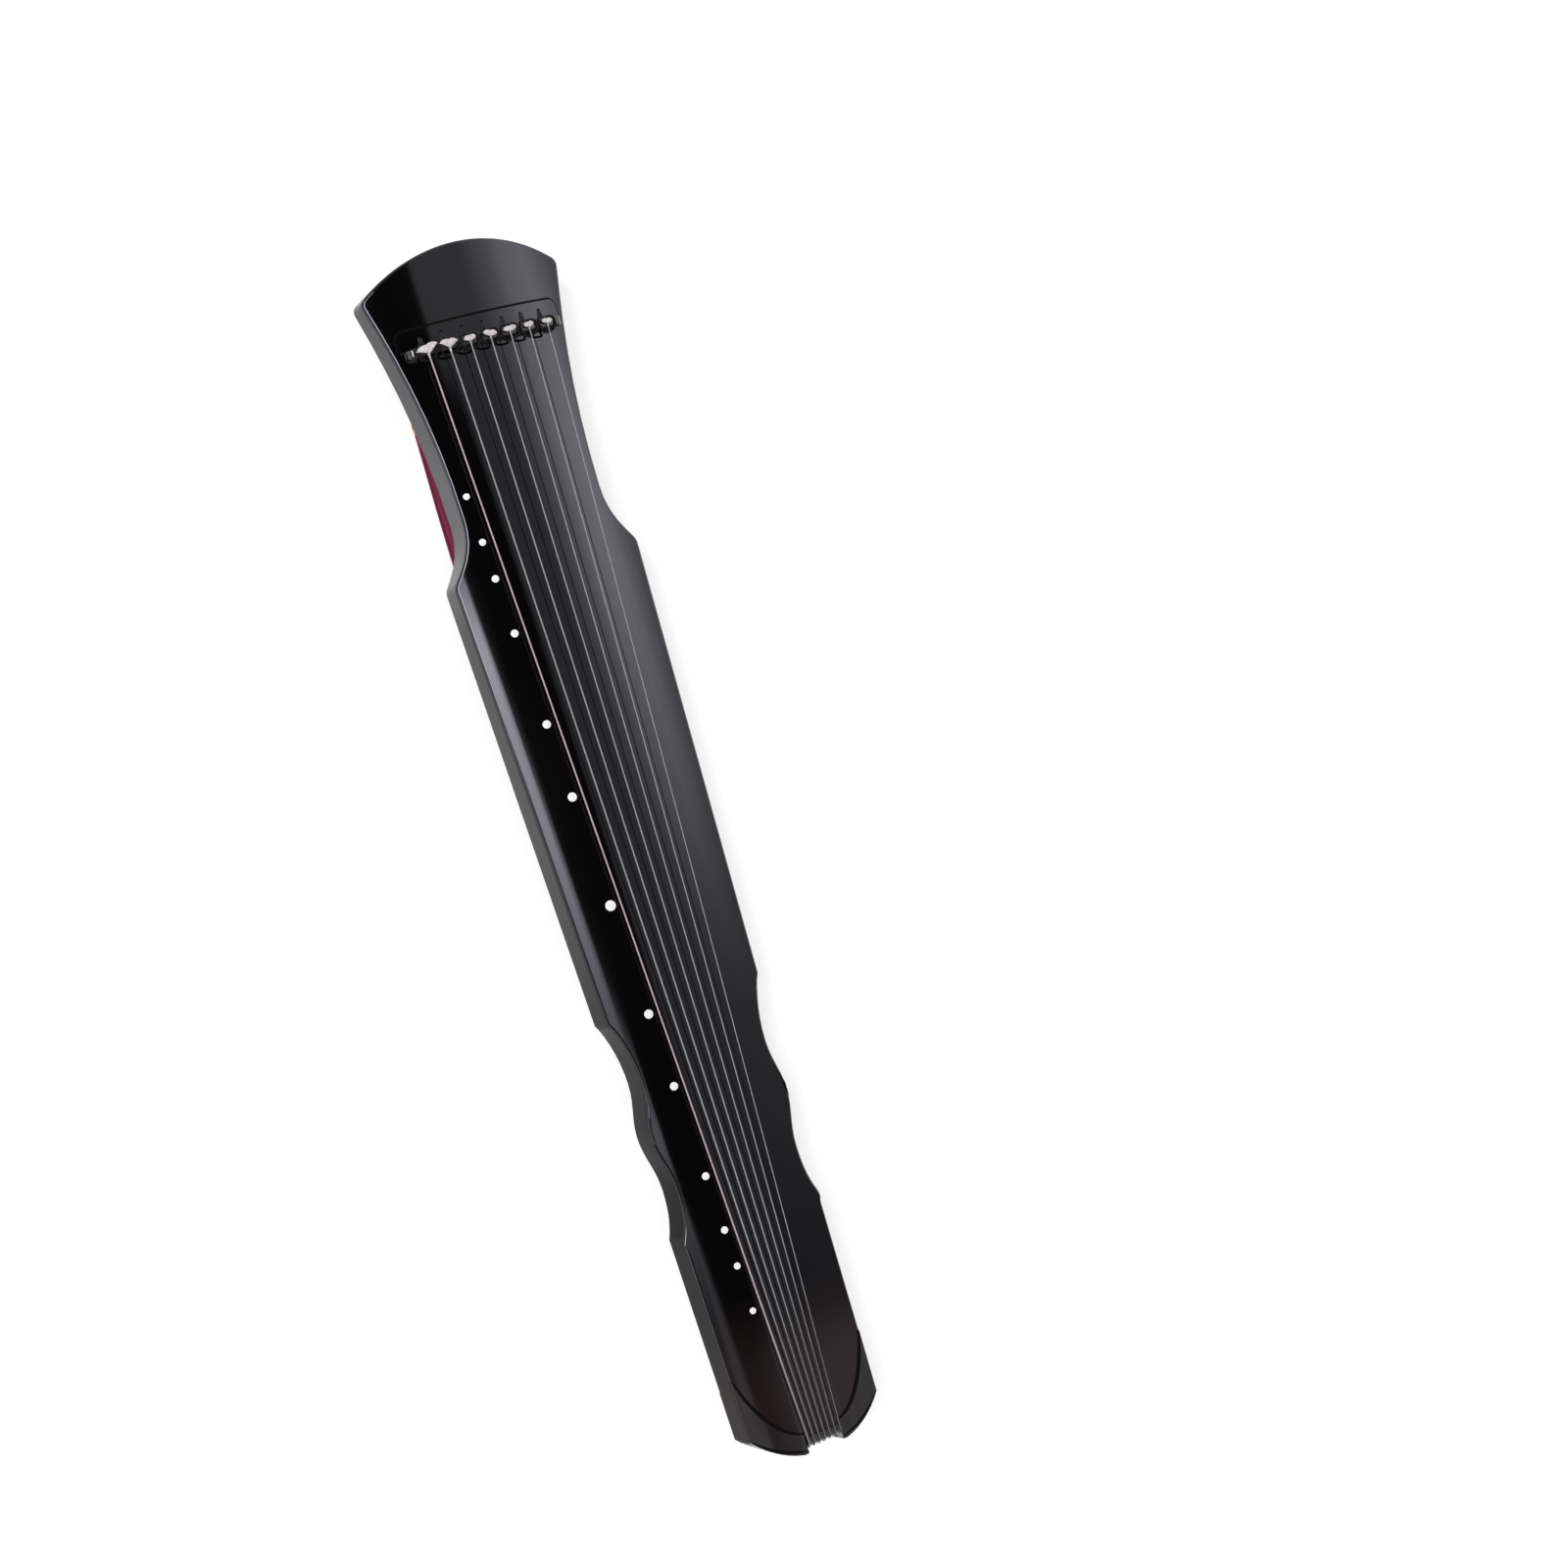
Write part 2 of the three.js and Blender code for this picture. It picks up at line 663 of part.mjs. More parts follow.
function peg_hole_strip() {
  const inner = face_radius + seat_gap;
  const end_x = strip_x + strip_width;
  const bar = to_solid(arched_bar(inner, inner + strip_thickness, strip_x, end_x, strip_span));
  const outline = rounded_rectangle(strip_x - strip_corner_radius, end_x, strip_span, strip_corner_radius);
  let strip = bar.intersect(prism(outline, seam_z, crown_z + strip_thickness + overrun));
  for (const lane of lanes) {
    const top_z = crown_z + strip_thickness + overrun;
    const hole = upright_cylinder(silk_hole_radius, peg_row_x, head_lane_y(lane), seam_z, top_z, hole_sides);
    strip = strip.subtract(to_solid(hole));
  }
  return strip;
}

function peg_plate() {
  const shape = new THREE.Shape(peg_slot_points(0));
  for (const lane of lanes) {
    const hole = new THREE.Path();
    hole.absarc(peg_row_x, head_lane_y(lane), silk_hole_radius, 0, 2 * Math.PI, false);
    shape.holes.push(new THREE.Path(hole.getPoints(hole_sides / 2)));
  }
  return prism_geometry(shape, seam_z + seat_gap, plate_top_z);
}

// Posts between the boards

const post_floor_z = seam_z + seat_gap;

function round_post() {
  const top_z = arch_z(ceiling_radius, round_post_radius) - seat_gap;
  return upright_cylinder(round_post_radius, along(round_post_share), 0, post_floor_z, top_z, lathe_sides);
}

function square_post() {
  const reach = square_post_width / 2;
  const top_z = arch_z(ceiling_radius, reach) - seat_gap;
  const geometry = new THREE.BoxGeometry(square_post_width, square_post_width, top_z - post_floor_z);
  geometry.translate(along(square_post_share), 0, (top_z + post_floor_z) / 2);
  return geometry;
}

// Peg guards: three sided wedges that narrow towards the surface they stand on

function guard_geometry(side) {
  const head_x = along(0) - guard_head_inset;
  const back_x = peg_row_x + peg_slot_radius + guard_to_pegs;
  const inner_y = guard_inner_width / 2;
  const corner_x = (head_x + back_x) / 2;
  const corners = [
    new THREE.Vector2(head_x, inner_y),
    new THREE.Vector2(corner_x, inner_y + guard_width),
    new THREE.Vector2(back_x, inner_y),
  ];
  const middle = new THREE.Vector2(corner_x, inner_y);
  const ring_at = (share, z) => {
    const ring = corners.map((corner) => {
      const point = corner.clone().sub(middle).multiplyScalar(share).add(middle);
      return new THREE.Vector3(point.x, point.y * side, z);
    });
    return side > 0 ? ring : ring.reverse();
  };
  return skin([ring_at(guard_foot_share, 0), ring_at(1, underside_z - seat_gap)]);
}

// Tail support: the plate under the tail, with a curved front edge

function support_solid() {
  const points_on_side = support_curve_shares.map(([length_share, width_share]) => (
    new THREE.Vector2(tail_x + support_side_length * length_share, tail_half_width * width_share)
  ));
  const [first, second] = points_on_side;
  const side_x = tail_x + support_side_length;
  const middle_x = tail_x + support_middle_length;
  const path = new THREE.Path();
  path.moveTo(tail_x - overrun, half_width);
  path.lineTo(tail_x - overrun, -half_width);
  path.lineTo(side_x, -half_width);
  path.lineTo(side_x, -tail_half_width);
  path.bezierCurveTo(first.x, -first.y, second.x, -second.y, middle_x, 0);
  path.bezierCurveTo(second.x, second.y, first.x, first.y, side_x, tail_half_width);
  path.lineTo(side_x, half_width);
  path.closePath();
  const high = underside_z - seat_gap;
  const low = high - support_thickness;
  const region = prism(path.getPoints(6).slice(0, -1), low - overrun, high + overrun);
  const plate = prism(outline_points, low, high).intersect(region);
  return plate.subtract(tail_notch(low - overrun, high + overrun, gum_head_x + seat_gap));
}

// Goose feet

const collar_z = underside_z - seat_gap;

function foot_geometry(side) {
  const profile = [
    new THREE.Vector2(0, 0),
    new THREE.Vector2(foot_end_radius, 0),
    new THREE.Vector2(foot_radius, foot_lip),
    new THREE.Vector2(foot_radius, collar_z - foot_collar_thickness),
    new THREE.Vector2(foot_collar_radius, collar_z - foot_collar_thickness),
    new THREE.Vector2(foot_collar_radius, collar_z),
    new THREE.Vector2(foot_tenon_radius, collar_z),
    new THREE.Vector2(foot_tenon_radius, tenon_top_z),
    new THREE.Vector2(0, tenon_top_z),
  ];
  const geometry = new THREE.LatheGeometry(profile, lathe_sides);
  geometry.rotateX(Math.PI / 2);
  geometry.translate(foot_x, foot_y * side, 0);
  return geometry;
}

// Pegs: turned, with a bore for the silk right through

const peg_top_z = seam_z;
const peg_height = peg_top_z - peg_end_z;

function peg_geometry() {
  const outside = peg_profile_shares.map(([height_share, radius_share]) => (
    new THREE.Vector2(peg_radius * radius_share, peg_height * height_share)
  ));
  const profile = [
    new THREE.Vector2(peg_bore_radius, 0),
    new THREE.Vector2(peg_end_radius, 0),
    ...outside,
    new THREE.Vector2(peg_waist_radius, peg_height),
    new THREE.Vector2(peg_bore_radius, peg_height),
    new THREE.Vector2(peg_bore_radius, 0),
  ];
  const geometry = new THREE.LatheGeometry(profile, lathe_sides);
  geometry.rotateX(Math.PI / 2);
  return geometry;
}

// Silk loops: up through peg and board, then over the bridge to the string's knot

const string_knot_x = (bridge_x + bridge_head_x) / 2;

function silk_geometry(lane) {
  const y = head_lane_y(lane);
  const radius = silk_diameter / 2;
  const bridge_z = arch_z(bridge_radius, y);
  const clear = radius + seat_gap;
  const end_x = string_knot_x + knot_radius + seat_gap;
  const face_z = arch_z(face_radius, y) + strip_thickness;
  const route = [
    new THREE.Vector3(peg_row_x, y, peg_end_z + peg_radius),
    new THREE.Vector3(peg_row_x, y, face_z + radius),
    new THREE.Vector3(peg_row_x - radius, y, face_z + radius + silk_diameter),
    new THREE.Vector3(bridge_head_x + clear + radius, y, bridge_z - radius),
    new THREE.Vector3(bridge_head_x + radius, y, bridge_z + clear),
    new THREE.Vector3(bridge_head_x, y, bridge_z + clear + radius / 2),
    new THREE.Vector3(end_x, y, bridge_z + clear + radius / 2),
  ];
  return tube(route, route.map(() => radius));
}

// Strings: knot, bridge, face, round the tail, back, and turns on a foot

// Steps of a quarter turn in the plane of X and Z
function tail_bend(centre_x, centre_z, radius, from_angle, y) {
  const points = [];
  for (let step = 0; step <= bend_steps; step += 1) {
    const angle = from_angle + ((step / bend_steps) * Math.PI) / 2;
    const x = centre_x + radius * Math.cos(angle);
    points.push(new THREE.Vector3(x, y, centre_z + radius * Math.sin(angle)));
  }
  return points;
}

const diameter_of = (lane) => string_diameters[string_number(lane) - 1];

// The strings on one foot share its height evenly, each in a band of its own from the board down
function winding(lane, lanes_on_foot, turns) {
  const high_z = collar_z - foot_collar_thickness - seat_gap;
  const wound = lanes_on_foot.reduce((sum, other) => sum + diameter_of(other) * (turns + 1), 0);
  const gap_count = lanes_on_foot.length * (turns + 1) - 1;
  const gap = (high_z - foot_lip - wound) / gap_count;
  let top_z = high_z;
  for (const other of lanes_on_foot.filter((before) => before < lane)) {
    top_z -= (diameter_of(other) + gap) * (turns + 1);
  }
  return { start_z: top_z - diameter_of(lane) / 2, pitch: diameter_of(lane) + gap };
}

function string_route(lane) {
  const radius = diameter_of(lane) / 2;
  const goes_left = (other) => string_number(other) <= strings_on_left_foot;
  const on_left_foot = goes_left(lane);
  const side = on_left_foot ? 1 : -1;
  const lanes_on_foot = lanes.filter((other) => goes_left(other) === on_left_foot);
  const clear = radius + seat_gap;
  const head_y = head_lane_y(lane);
  const tail_y = tail_lane_y(lane);
  const middle_lane = (lanes_on_foot[0] + lanes_on_foot[lanes_on_foot.length - 1]) / 2;
  const back_y = back_bundle_offset * side + (lane - middle_lane) * back_spacing;
  const bridge_z = arch_z(bridge_radius, head_y) + clear;
  const bend = gum_radius + clear;
  const bend_x = notch_x + gum_radius;

  const knot_z = arch_z(bridge_radius, head_y) + knot_radius + seat_gap;
  const route = [
    new THREE.Vector3(string_knot_x + knot_radius, head_y, knot_z),
    new THREE.Vector3(string_knot_x + knot_radius / 2, head_y, knot_z),
    new THREE.Vector3(string_knot_x - knot_radius / 2, head_y, knot_z),
    new THREE.Vector3(string_knot_x - knot_radius, head_y, bridge_z + seat_gap),
    new THREE.Vector3(bridge_x, head_y, bridge_z),
  ];
  const radii = [knot_radius / 2, knot_radius, knot_radius, radius, radius];
  route.push(...tail_bend(bend_x, gum_top_z - gum_radius, bend, Math.PI / 2, tail_y));
  route.push(...tail_bend(bend_x, lower_gum_z + gum_radius, bend, Math.PI, back_y));

  // Where the string meets the circle that it winds on
  const wind_radius = foot_radius + clear;
  const leave = route[route.length - 1];
  const middle = new THREE.Vector2(foot_x, foot_y * side);
  const away = new THREE.Vector2(leave.x - middle.x, leave.y - middle.y);
  const start_angle = away.angle() + side * Math.acos(wind_radius / away.length());
  const turns = on_left_foot ? turns_on_left_foot : turns_on_right_foot;
  const { start_z, pitch } = winding(lane, lanes_on_foot, turns);
  const steps = turns * loop_steps;
  for (let step = 0; step <= steps; step += 1) {
    const angle = start_angle + side * (step / loop_steps) * 2 * Math.PI;
    const x = middle.x + wind_radius * Math.cos(angle);
    const y = middle.y + wind_radius * Math.sin(angle);
    route.push(new THREE.Vector3(x, y, start_z - (step / loop_steps) * pitch));
  }
  const last = route[route.length - 1];
  const before_last = route[route.length - 2];
  const onward = new THREE.Vector3().subVectors(last, before_last).setLength(radius * 2);
  route.push(last.clone().add(onward));
  while (radii.length < route.length) {
    radii.push(radius);
  }
  return { route, radii, radius, steps };
}

// Least gap between the turns of one string, measured on its points
function least_own_gap({ route, radius, steps }) {
  const wound = route.slice(-steps);
  let least = Infinity;
  for (let i = 0; i < wound.length; i += 1) {
    for (let j = i + loop_steps / 2; j < wound.length; j += 1) {
      least = Math.min(least, wound[i].distanceTo(wound[j]) - radius * 2);
    }
  }
  return least;
}

// Tassels: knot, cord, cap, gold band and skirt, lying on the surface under the body

// A ring whose flats reach the full width and height, squarer with a lower power
function oval_ring(x, y, bottom_z, width, height, power = 1) {
  const reach = Math.cos(Math.PI / tassel_sides) ** power;
  const bulge = (value) => (Math.sign(value) * Math.abs(value) ** power) / reach;
  const ring = [];
  for (let side = 0; side < tassel_sides; side += 1) {
    const angle = ((side + 1 / 2) / tassel_sides) * 2 * Math.PI;
    const across_y = y - (bulge(Math.cos(angle)) * width) / 2;
    ring.push(new THREE.Vector3(x, across_y, bottom_z + ((1 + bulge(Math.sin(angle))) * height) / 2));
  }
  return ring;
}

function tassel_geometry(lane) {
  const y = head_lane_y(lane);
  const x = peg_row_x;
  const knot = tassel_knot_radius;
  const cord = tassel_cord_diameter;
  const cap_x = x - tassel_cord_lengths[lane];
  const band_x = cap_x - tassel_cap_length;
  const skirt_x = band_x - tassel_band_length;
  const skirt_length = tassel_lengths[lane] - tassel_cap_length - tassel_band_length;
  const lying_y = y + tassel_side_steps[lane];
  const knot_ring = (share) => {
    const radius = knot * Math.sqrt(1 - share * share);
    return oval_ring(x - knot * share, y, tassel_knot_z - radius, tassel_knot_width, radius * 2, 1 / 2);
  };
  const cap_rise = (tassel_height - cord) / 2;
  const rings = [
    knot_ring(-0.9),
    knot_ring(-0.5),
    knot_ring(0),
    knot_ring(0.5),
    oval_ring(x - knot, y, tassel_knot_z - cord / 2, cord, cord),
    oval_ring(x - knot * 3, y, seat_gap, cord, cord),
    oval_ring(cap_x + tassel_cap_length, lying_y, seat_gap, cord, cord),
    oval_ring(cap_x + cord / 2, lying_y, seat_gap + cap_rise, cord, cord),
    oval_ring(cap_x, lying_y, seat_gap + cord / 2, tassel_cap_width - cord, tassel_height - cord),
    oval_ring(cap_x - cord, lying_y, seat_gap, tassel_cap_width, tassel_height),
    oval_ring(band_x, lying_y, seat_gap, tassel_cap_width, tassel_height),
    oval_ring(skirt_x, lying_y, seat_gap, tassel_width, tassel_height),
  ];
  for (const [length_share, width_share, height_share] of skirt_shares) {
    const ring_x = skirt_x - skirt_length * length_share;
    const ring_width = tassel_width * width_share;
    rings.push(oval_ring(ring_x, lying_y, seat_gap, ring_width, tassel_height * height_share));
  }
  return skin(rings);
}

// Assembly

add_piece("top_board", to_geometry(top_board()), black_lacquer);
add_piece("bottom_board", to_geometry(bottom_board()), black_lacquer);
add_piece("sound_post_round", round_post(), bare_wood);
add_piece("sound_post_square", square_post(), bare_wood);
add_piece("peg_plate", peg_plate(), dark_wood);

add_piece("bridge", bridge_geometry(), dark_wood);
add_piece("peg_hole_strip", to_geometry(peg_hole_strip()), dark_wood);
add_piece("dragon_gum", gum_geometry(gum_bottom_z, gum_top_z, true), dark_wood);
add_piece("lower_gum", gum_geometry(lower_gum_z, seam_z, false), dark_wood);
add_piece("tail_support", to_geometry(support_solid()), black_lacquer);

for (const [name, side] of [["left", 1], ["right", -1]]) {
  add_piece(`peg_guard_${name}`, guard_geometry(side), black_lacquer);
  add_piece(`tail_crown_${name}`, to_geometry(crown_solid(side)), dark_wood);
  add_piece(`goose_foot_${name}`, foot_geometry(side), turned_wood);
}

for (const index of hui_fractions.keys()) {
  const name = `hui_${String(index + 1).padStart(2, "0")}`;
  const radius = hui_diameters[index] / 2;
  add_piece(name, hui_geometry(index, radius, hui_floor_radius, face_radius), mother_of_pearl);
}

let least_gap = Infinity;
for (const lane of lanes) {
  const number = string_number(lane);
  const peg = add_piece(`peg_${number}`, peg_geometry(), turned_wood);
  peg.position.set(peg_row_x, head_lane_y(lane), peg_end_z);
  add_piece(`silk_loop_${number}`, silk_geometry(lane), black_silk);
  const string = string_route(lane);
  add_piece(`string_${number}`, tube(string.route, string.radii), string_metal);
  add_piece(`tassel_${number}`, tassel_geometry(lane), crimson_silk);
  least_gap = Math.min(least_gap, least_own_gap(string));
}
console.log(`least gap between turns of a string on its foot: ${least_gap.toFixed(2)} mm`);
if (least_gap < least_turn_gap) {
  console.log("the turns of a string lie too close");
}

export default guqin;
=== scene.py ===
# %% [markdown]
# # A black lacquered guqin
# The guqin is a Chinese zither with seven strings, which lies on a table with its face up. This lesson
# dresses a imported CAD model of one. The CAD gives every place and size. Blender adds what the CAD leaves
# out: rounded lacquer edges, twisted silk, wound strings, turned wood, tassels with single threads, and
# the finish of each material.

# %% Load the CAD model
import math
import random

import bmesh
import bpy
from mathutils import Matrix, Vector


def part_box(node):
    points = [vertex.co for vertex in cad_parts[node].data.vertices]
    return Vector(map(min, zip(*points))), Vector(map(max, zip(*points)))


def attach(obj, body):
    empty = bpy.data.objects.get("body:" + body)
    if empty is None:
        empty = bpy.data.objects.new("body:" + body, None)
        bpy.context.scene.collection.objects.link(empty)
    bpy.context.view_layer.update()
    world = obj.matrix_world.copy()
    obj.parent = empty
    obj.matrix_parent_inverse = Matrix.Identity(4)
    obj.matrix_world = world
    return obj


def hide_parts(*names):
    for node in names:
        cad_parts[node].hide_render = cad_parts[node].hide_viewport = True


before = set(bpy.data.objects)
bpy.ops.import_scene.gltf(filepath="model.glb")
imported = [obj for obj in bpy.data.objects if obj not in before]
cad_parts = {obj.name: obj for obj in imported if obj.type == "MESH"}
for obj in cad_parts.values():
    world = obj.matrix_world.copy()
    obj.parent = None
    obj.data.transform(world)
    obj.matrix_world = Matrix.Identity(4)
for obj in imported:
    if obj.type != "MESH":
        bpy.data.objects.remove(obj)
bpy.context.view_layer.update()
print("CAD nodes:", len(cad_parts))

# %% [markdown]
# ## Camera
# The picture looks down on the face from the long side that has the markers, from about three metres
# away, with the head end at the top and tilted to the left. The place and turn of the camera were solved
# from the markers, whose places along a string are fixed fractions of its length. Three directions make
# the turn: right, up, and back towards the viewer.

# %% Camera
camera_data = bpy.data.cameras.new("camera")
camera_data.lens = 68.82
camera_data.sensor_width = 36
camera = bpy.data.objects.new("camera", camera_data)
camera_right = Vector((-0.29339, -0.86619, 0.40453))
camera_up = Vector((0.95569, -0.27647, 0.10113))
camera_back = Vector((0.02424, 0.41627, 0.90892))
camera_turn = Matrix((camera_right, camera_up, camera_back)).transposed().to_4x4()
camera.matrix_world = Matrix.Translation((0.08865, 1.0831, 2.8025)) @ camera_turn
bpy.context.scene.collection.objects.link(camera)
bpy.context.scene.camera = camera
print("camera", round(camera.location.length, 2), "m from the middle of the floor")

# %% [markdown]
# ## Sizes shared with the CAD
# Some pieces follow a route that the CAD worked out: the strings, the silk and the tassel cords. Their
# main sizes are repeated here in metres, so that each new piece lies in the place of the solid that it
# stands for. The face is an arch, part of a cylinder along the instrument.

# %% Sizes
face_radius = 0.284
face_centre_z = -0.208
bridge_radius = 0.298
bridge_tail_x, bridge_head_x = (corner[0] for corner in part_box("bridge"))
peg_row_x = sum(corner[0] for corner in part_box("peg_1")) / 2
notch_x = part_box("dragon_gum")[0][0]
gum_top_z = 0.0785
gum_radius = 0.005
lower_gum_z = 0.0246
underside_z = 0.028
seam_z = 0.040
foot_x = sum(corner[0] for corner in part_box("goose_foot_left")) / 2
foot_y = 0.051
foot_radius = 0.0138
gap = 0.0003
lane_count = 7
head_spacing = 0.0213
tail_spacing = 0.006
string_diameters = [0.0016, 0.00145, 0.0013, 0.0012, 0.0011, 0.001, 0.0009]


def lane_y(number, spacing=head_spacing):
    """Place across the body of string, peg or tassel number 1 to 7."""
    return ((lane_count + 1) / 2 - number) * spacing


def arch_z(radius, y):
    """Height of an arch about the axis of the face."""
    return face_centre_z + math.sqrt(radius * radius - y * y)


print("string 1 stands at y =", lane_y(1), "and string 7 at y =", lane_y(7))
print("bridge from x =", bridge_tail_x, "to", bridge_head_x, "and pegs at x =", peg_row_x)

# %% [markdown]
# ## Making and naming a piece
# Every piece rides on a body of the CAD, hides the solids that it stands for, and gets the material of its
# finish. One helper does that for a mesh, and one turns soft lines into tubes: a curve with a
# bevel is the quickest way to a tube, and it becomes a mesh at once.

# %% Helpers for pieces and tubes


def show(mesh, name, body, material, stands_for=(), smooth=40):
    """Puts a mesh in the scene as a piece of the object."""
    mesh.name = name
    piece = bpy.data.objects.new(name, mesh)
    bpy.context.scene.collection.objects.link(piece)
    if not mesh.materials:
        mesh.materials.append(material)
    mesh.shade_smooth()
    if smooth:
        mesh.set_sharp_from_angle(angle=math.radians(smooth))
    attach(piece, body)
    if stands_for:
        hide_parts(*stands_for)
    return piece


def to_mesh(bm):
    """Turns a bmesh into a mesh datablock."""
    mesh = bpy.data.meshes.new("piece")
    bm.to_mesh(mesh)
    bm.free()
    return mesh


def tube_mesh(routes, radius, rings=1, radii=None):
    """A mesh of round tubes along routes, each a list of points."""
    curve = bpy.data.curves.new("tube", "CURVE")
    curve.dimensions = "3D"
    curve.bevel_depth = radius
    curve.bevel_resolution = rings
    curve.use_fill_caps = True
    for number, route in enumerate(routes):
        spline = curve.splines.new("POLY")
        spline.points.add(len(route) - 1)
        for index, point in enumerate(route):
            spline.points[index].co = (*point, 1)
            if radii:
                spline.points[index].radius = radii[number][index]
    holder = bpy.data.objects.new("tube", curve)
    bpy.context.scene.collection.objects.link(holder)
    bpy.context.view_layer.update()
    shaped = holder.evaluated_get(bpy.context.evaluated_depsgraph_get())
    mesh = bpy.data.meshes.new_from_object(shaped)
    bpy.data.objects.remove(holder)
    bpy.data.curves.remove(curve)
    return mesh


def joined(meshes, materials):
    """One mesh from several, each keeping the material at its own place in the list."""
    bm = bmesh.new()
    for index, mesh in enumerate(meshes):
        before = len(bm.faces)
        bm.from_mesh(mesh)
        bm.faces.ensure_lookup_table()
        for face in bm.faces[before:]:
            face.material_index = index
    mesh = to_mesh(bm)
    for material in materials:
        mesh.materials.append(material)
    return mesh


def smooth_route(points, stride):
    """A finer route through the points, in strides of about one length, that never doubles back."""
    points = [Vector(point) for point in points]
    spans = [(after - before).length for before, after in zip(points, points[1:])]
    courses = [(after - before) / span for before, after, span in zip(points, points[1:], spans)]
    slopes = [courses[0]]
    for i in range(1, len(points) - 1):
        near, far = spans[i - 1], spans[i]
        slopes.append((courses[i - 1] * far + courses[i] * near) / (near + far))
    slopes.append(courses[-1])
    fine = []
    for i, span in enumerate(spans):
        steps = max(2, math.ceil(span / stride))
        for step in range(steps):
            t = step / steps
            fine.append(
                points[i] * (1 + t * t * (2 * t - 3)) + points[i + 1] * (t * t * (3 - 2 * t))
                + slopes[i] * span * (t * (1 - t) ** 2) - slopes[i + 1] * span * (t * t * (1 - t))
            )
    fine.append(points[-1])
    return fine


# %% [markdown]
# ## Node materials
# Every finish is a small network: noise or waves that follow the object's own coordinates, a ramp that
# turns them into a colour, and a bump for the relief. The first helper lays out the parts that all
# finishes share, so each finish only states how fine its pattern is, its share in each direction, its two
# colours, and its least and greatest roughness. The others serve values that change from place to place,
# in a finish or in the light of the studio.

# %% Helpers for materials and light


def node_material(name, scale, stretch, colours, roughness, bump=0.1, bump_distance=0.0002,
                  pattern="NOISE", detail=6, distortion=0.0, **sockets):
    """A procedural material: a stretched pattern drives colour, roughness and relief."""
    material = bpy.data.materials.new(name)
    material.use_nodes = True
    nodes = material.node_tree.nodes
    links = material.node_tree.links
    shader = nodes["Principled BSDF"]
    place = nodes.new("ShaderNodeTexCoord")
    mapping = nodes.new("ShaderNodeMapping")
    mapping.inputs["Scale"].default_value = stretch
    links.new(place.outputs["Object"], mapping.inputs["Vector"])
    texture = nodes.new("ShaderNodeTexWave" if pattern == "WAVE" else "ShaderNodeTexNoise")
    texture.inputs["Distortion"].default_value = distortion
    texture.inputs["Scale"].default_value = scale
    texture.inputs["Detail"].default_value = detail
    links.new(mapping.outputs["Vector"], texture.inputs["Vector"])
    height = texture.outputs["Fac"]
    ramp = nodes.new("ShaderNodeValToRGB")
    for stop, position, colour in zip(ramp.color_ramp.elements, (0.3, 0.7), colours):
        stop.position = position
        stop.color = (*colour, 1)
    links.new(height, ramp.inputs["Fac"])
    links.new(ramp.outputs["Color"], shader.inputs["Base Color"])
    spread = nodes.new("ShaderNodeMapRange")
    spread.inputs["To Min"].default_value = roughness[0]
    spread.inputs["To Max"].default_value = roughness[1]
    links.new(height, spread.inputs["Value"])
    links.new(spread.outputs["Result"], shader.inputs["Roughness"])
    relief = nodes.new("ShaderNodeBump")
    relief.inputs["Strength"].default_value = bump
    relief.inputs["Distance"].default_value = bump_distance
    links.new(height, relief.inputs["Height"])
    links.new(relief.outputs["Normal"], shader.inputs["Normal"])
    for socket, value in sockets.items():
        shader.inputs[socket.replace("_", " ")].default_value = value
    return material


def share_of(tree, source, low, high):
    """A value that runs from 0 to 1 while the source runs from low to high."""
    spread = tree.nodes.new("ShaderNodeMapRange")
    spread.inputs["From Min"].default_value = low
    spread.inputs["From Max"].default_value = high
    tree.links.new(source, spread.inputs["Value"])
    return spread.outputs["Result"]


def grey_ramp(tree, source, low, high, stops):
    """Grey levels over a source from low to high, from stops of (place, level)."""
    ramp = tree.nodes.new("ShaderNodeValToRGB")
    elements = ramp.color_ramp.elements
    for element, (place, level) in zip(elements, (stops[0], stops[-1])):
        element.position = (place - low) / (high - low)
        element.color = (level, level, level, 1)
    for place, level in stops[1:-1]:
        element = elements.new((place - low) / (high - low))
        element.color = (level, level, level, 1)
    tree.links.new(share_of(tree, source, low, high), ramp.inputs["Fac"])
    return ramp.outputs["Color"]


def combine(tree, operation, first, *others):
    """Arithmetic between values of a node tree, from left to right."""
    for other in others:
        step = tree.nodes.new("ShaderNodeMath")
        step.operation = operation
        for index, value in enumerate((first, other)):
            if isinstance(value, float):
                step.inputs[index].default_value = value
            else:
                tree.links.new(value, step.inputs[index])
        first = step.outputs["Value"]
    return first


def along_body(tree):
    """The place along the body, in the node tree of a finish."""
    along = tree.nodes.new("ShaderNodeSeparateXYZ")
    tree.links.new(tree.nodes["Texture Coordinate"].outputs["Object"], along.inputs["Vector"])
    return along.outputs["X"]


def tail_tint_and_shade(material, colour, start_x, end_x):
    """Lets a finish take on another colour from start_x to end_x along the body."""
    tree = material.node_tree
    worn = tree.nodes.new("ShaderNodeMix")
    worn.data_type = "RGBA"
    worn.inputs["B"].default_value = (*colour, 1)
    tree.links.new(share_of(tree, along_body(tree), start_x, end_x), worn.inputs["Factor"])
    tree.links.new(tree.nodes["Color Ramp"].outputs["Color"], worn.inputs["A"])
    tree.links.new(worn.outputs["Result"], tree.nodes["Principled BSDF"].inputs["Base Color"])
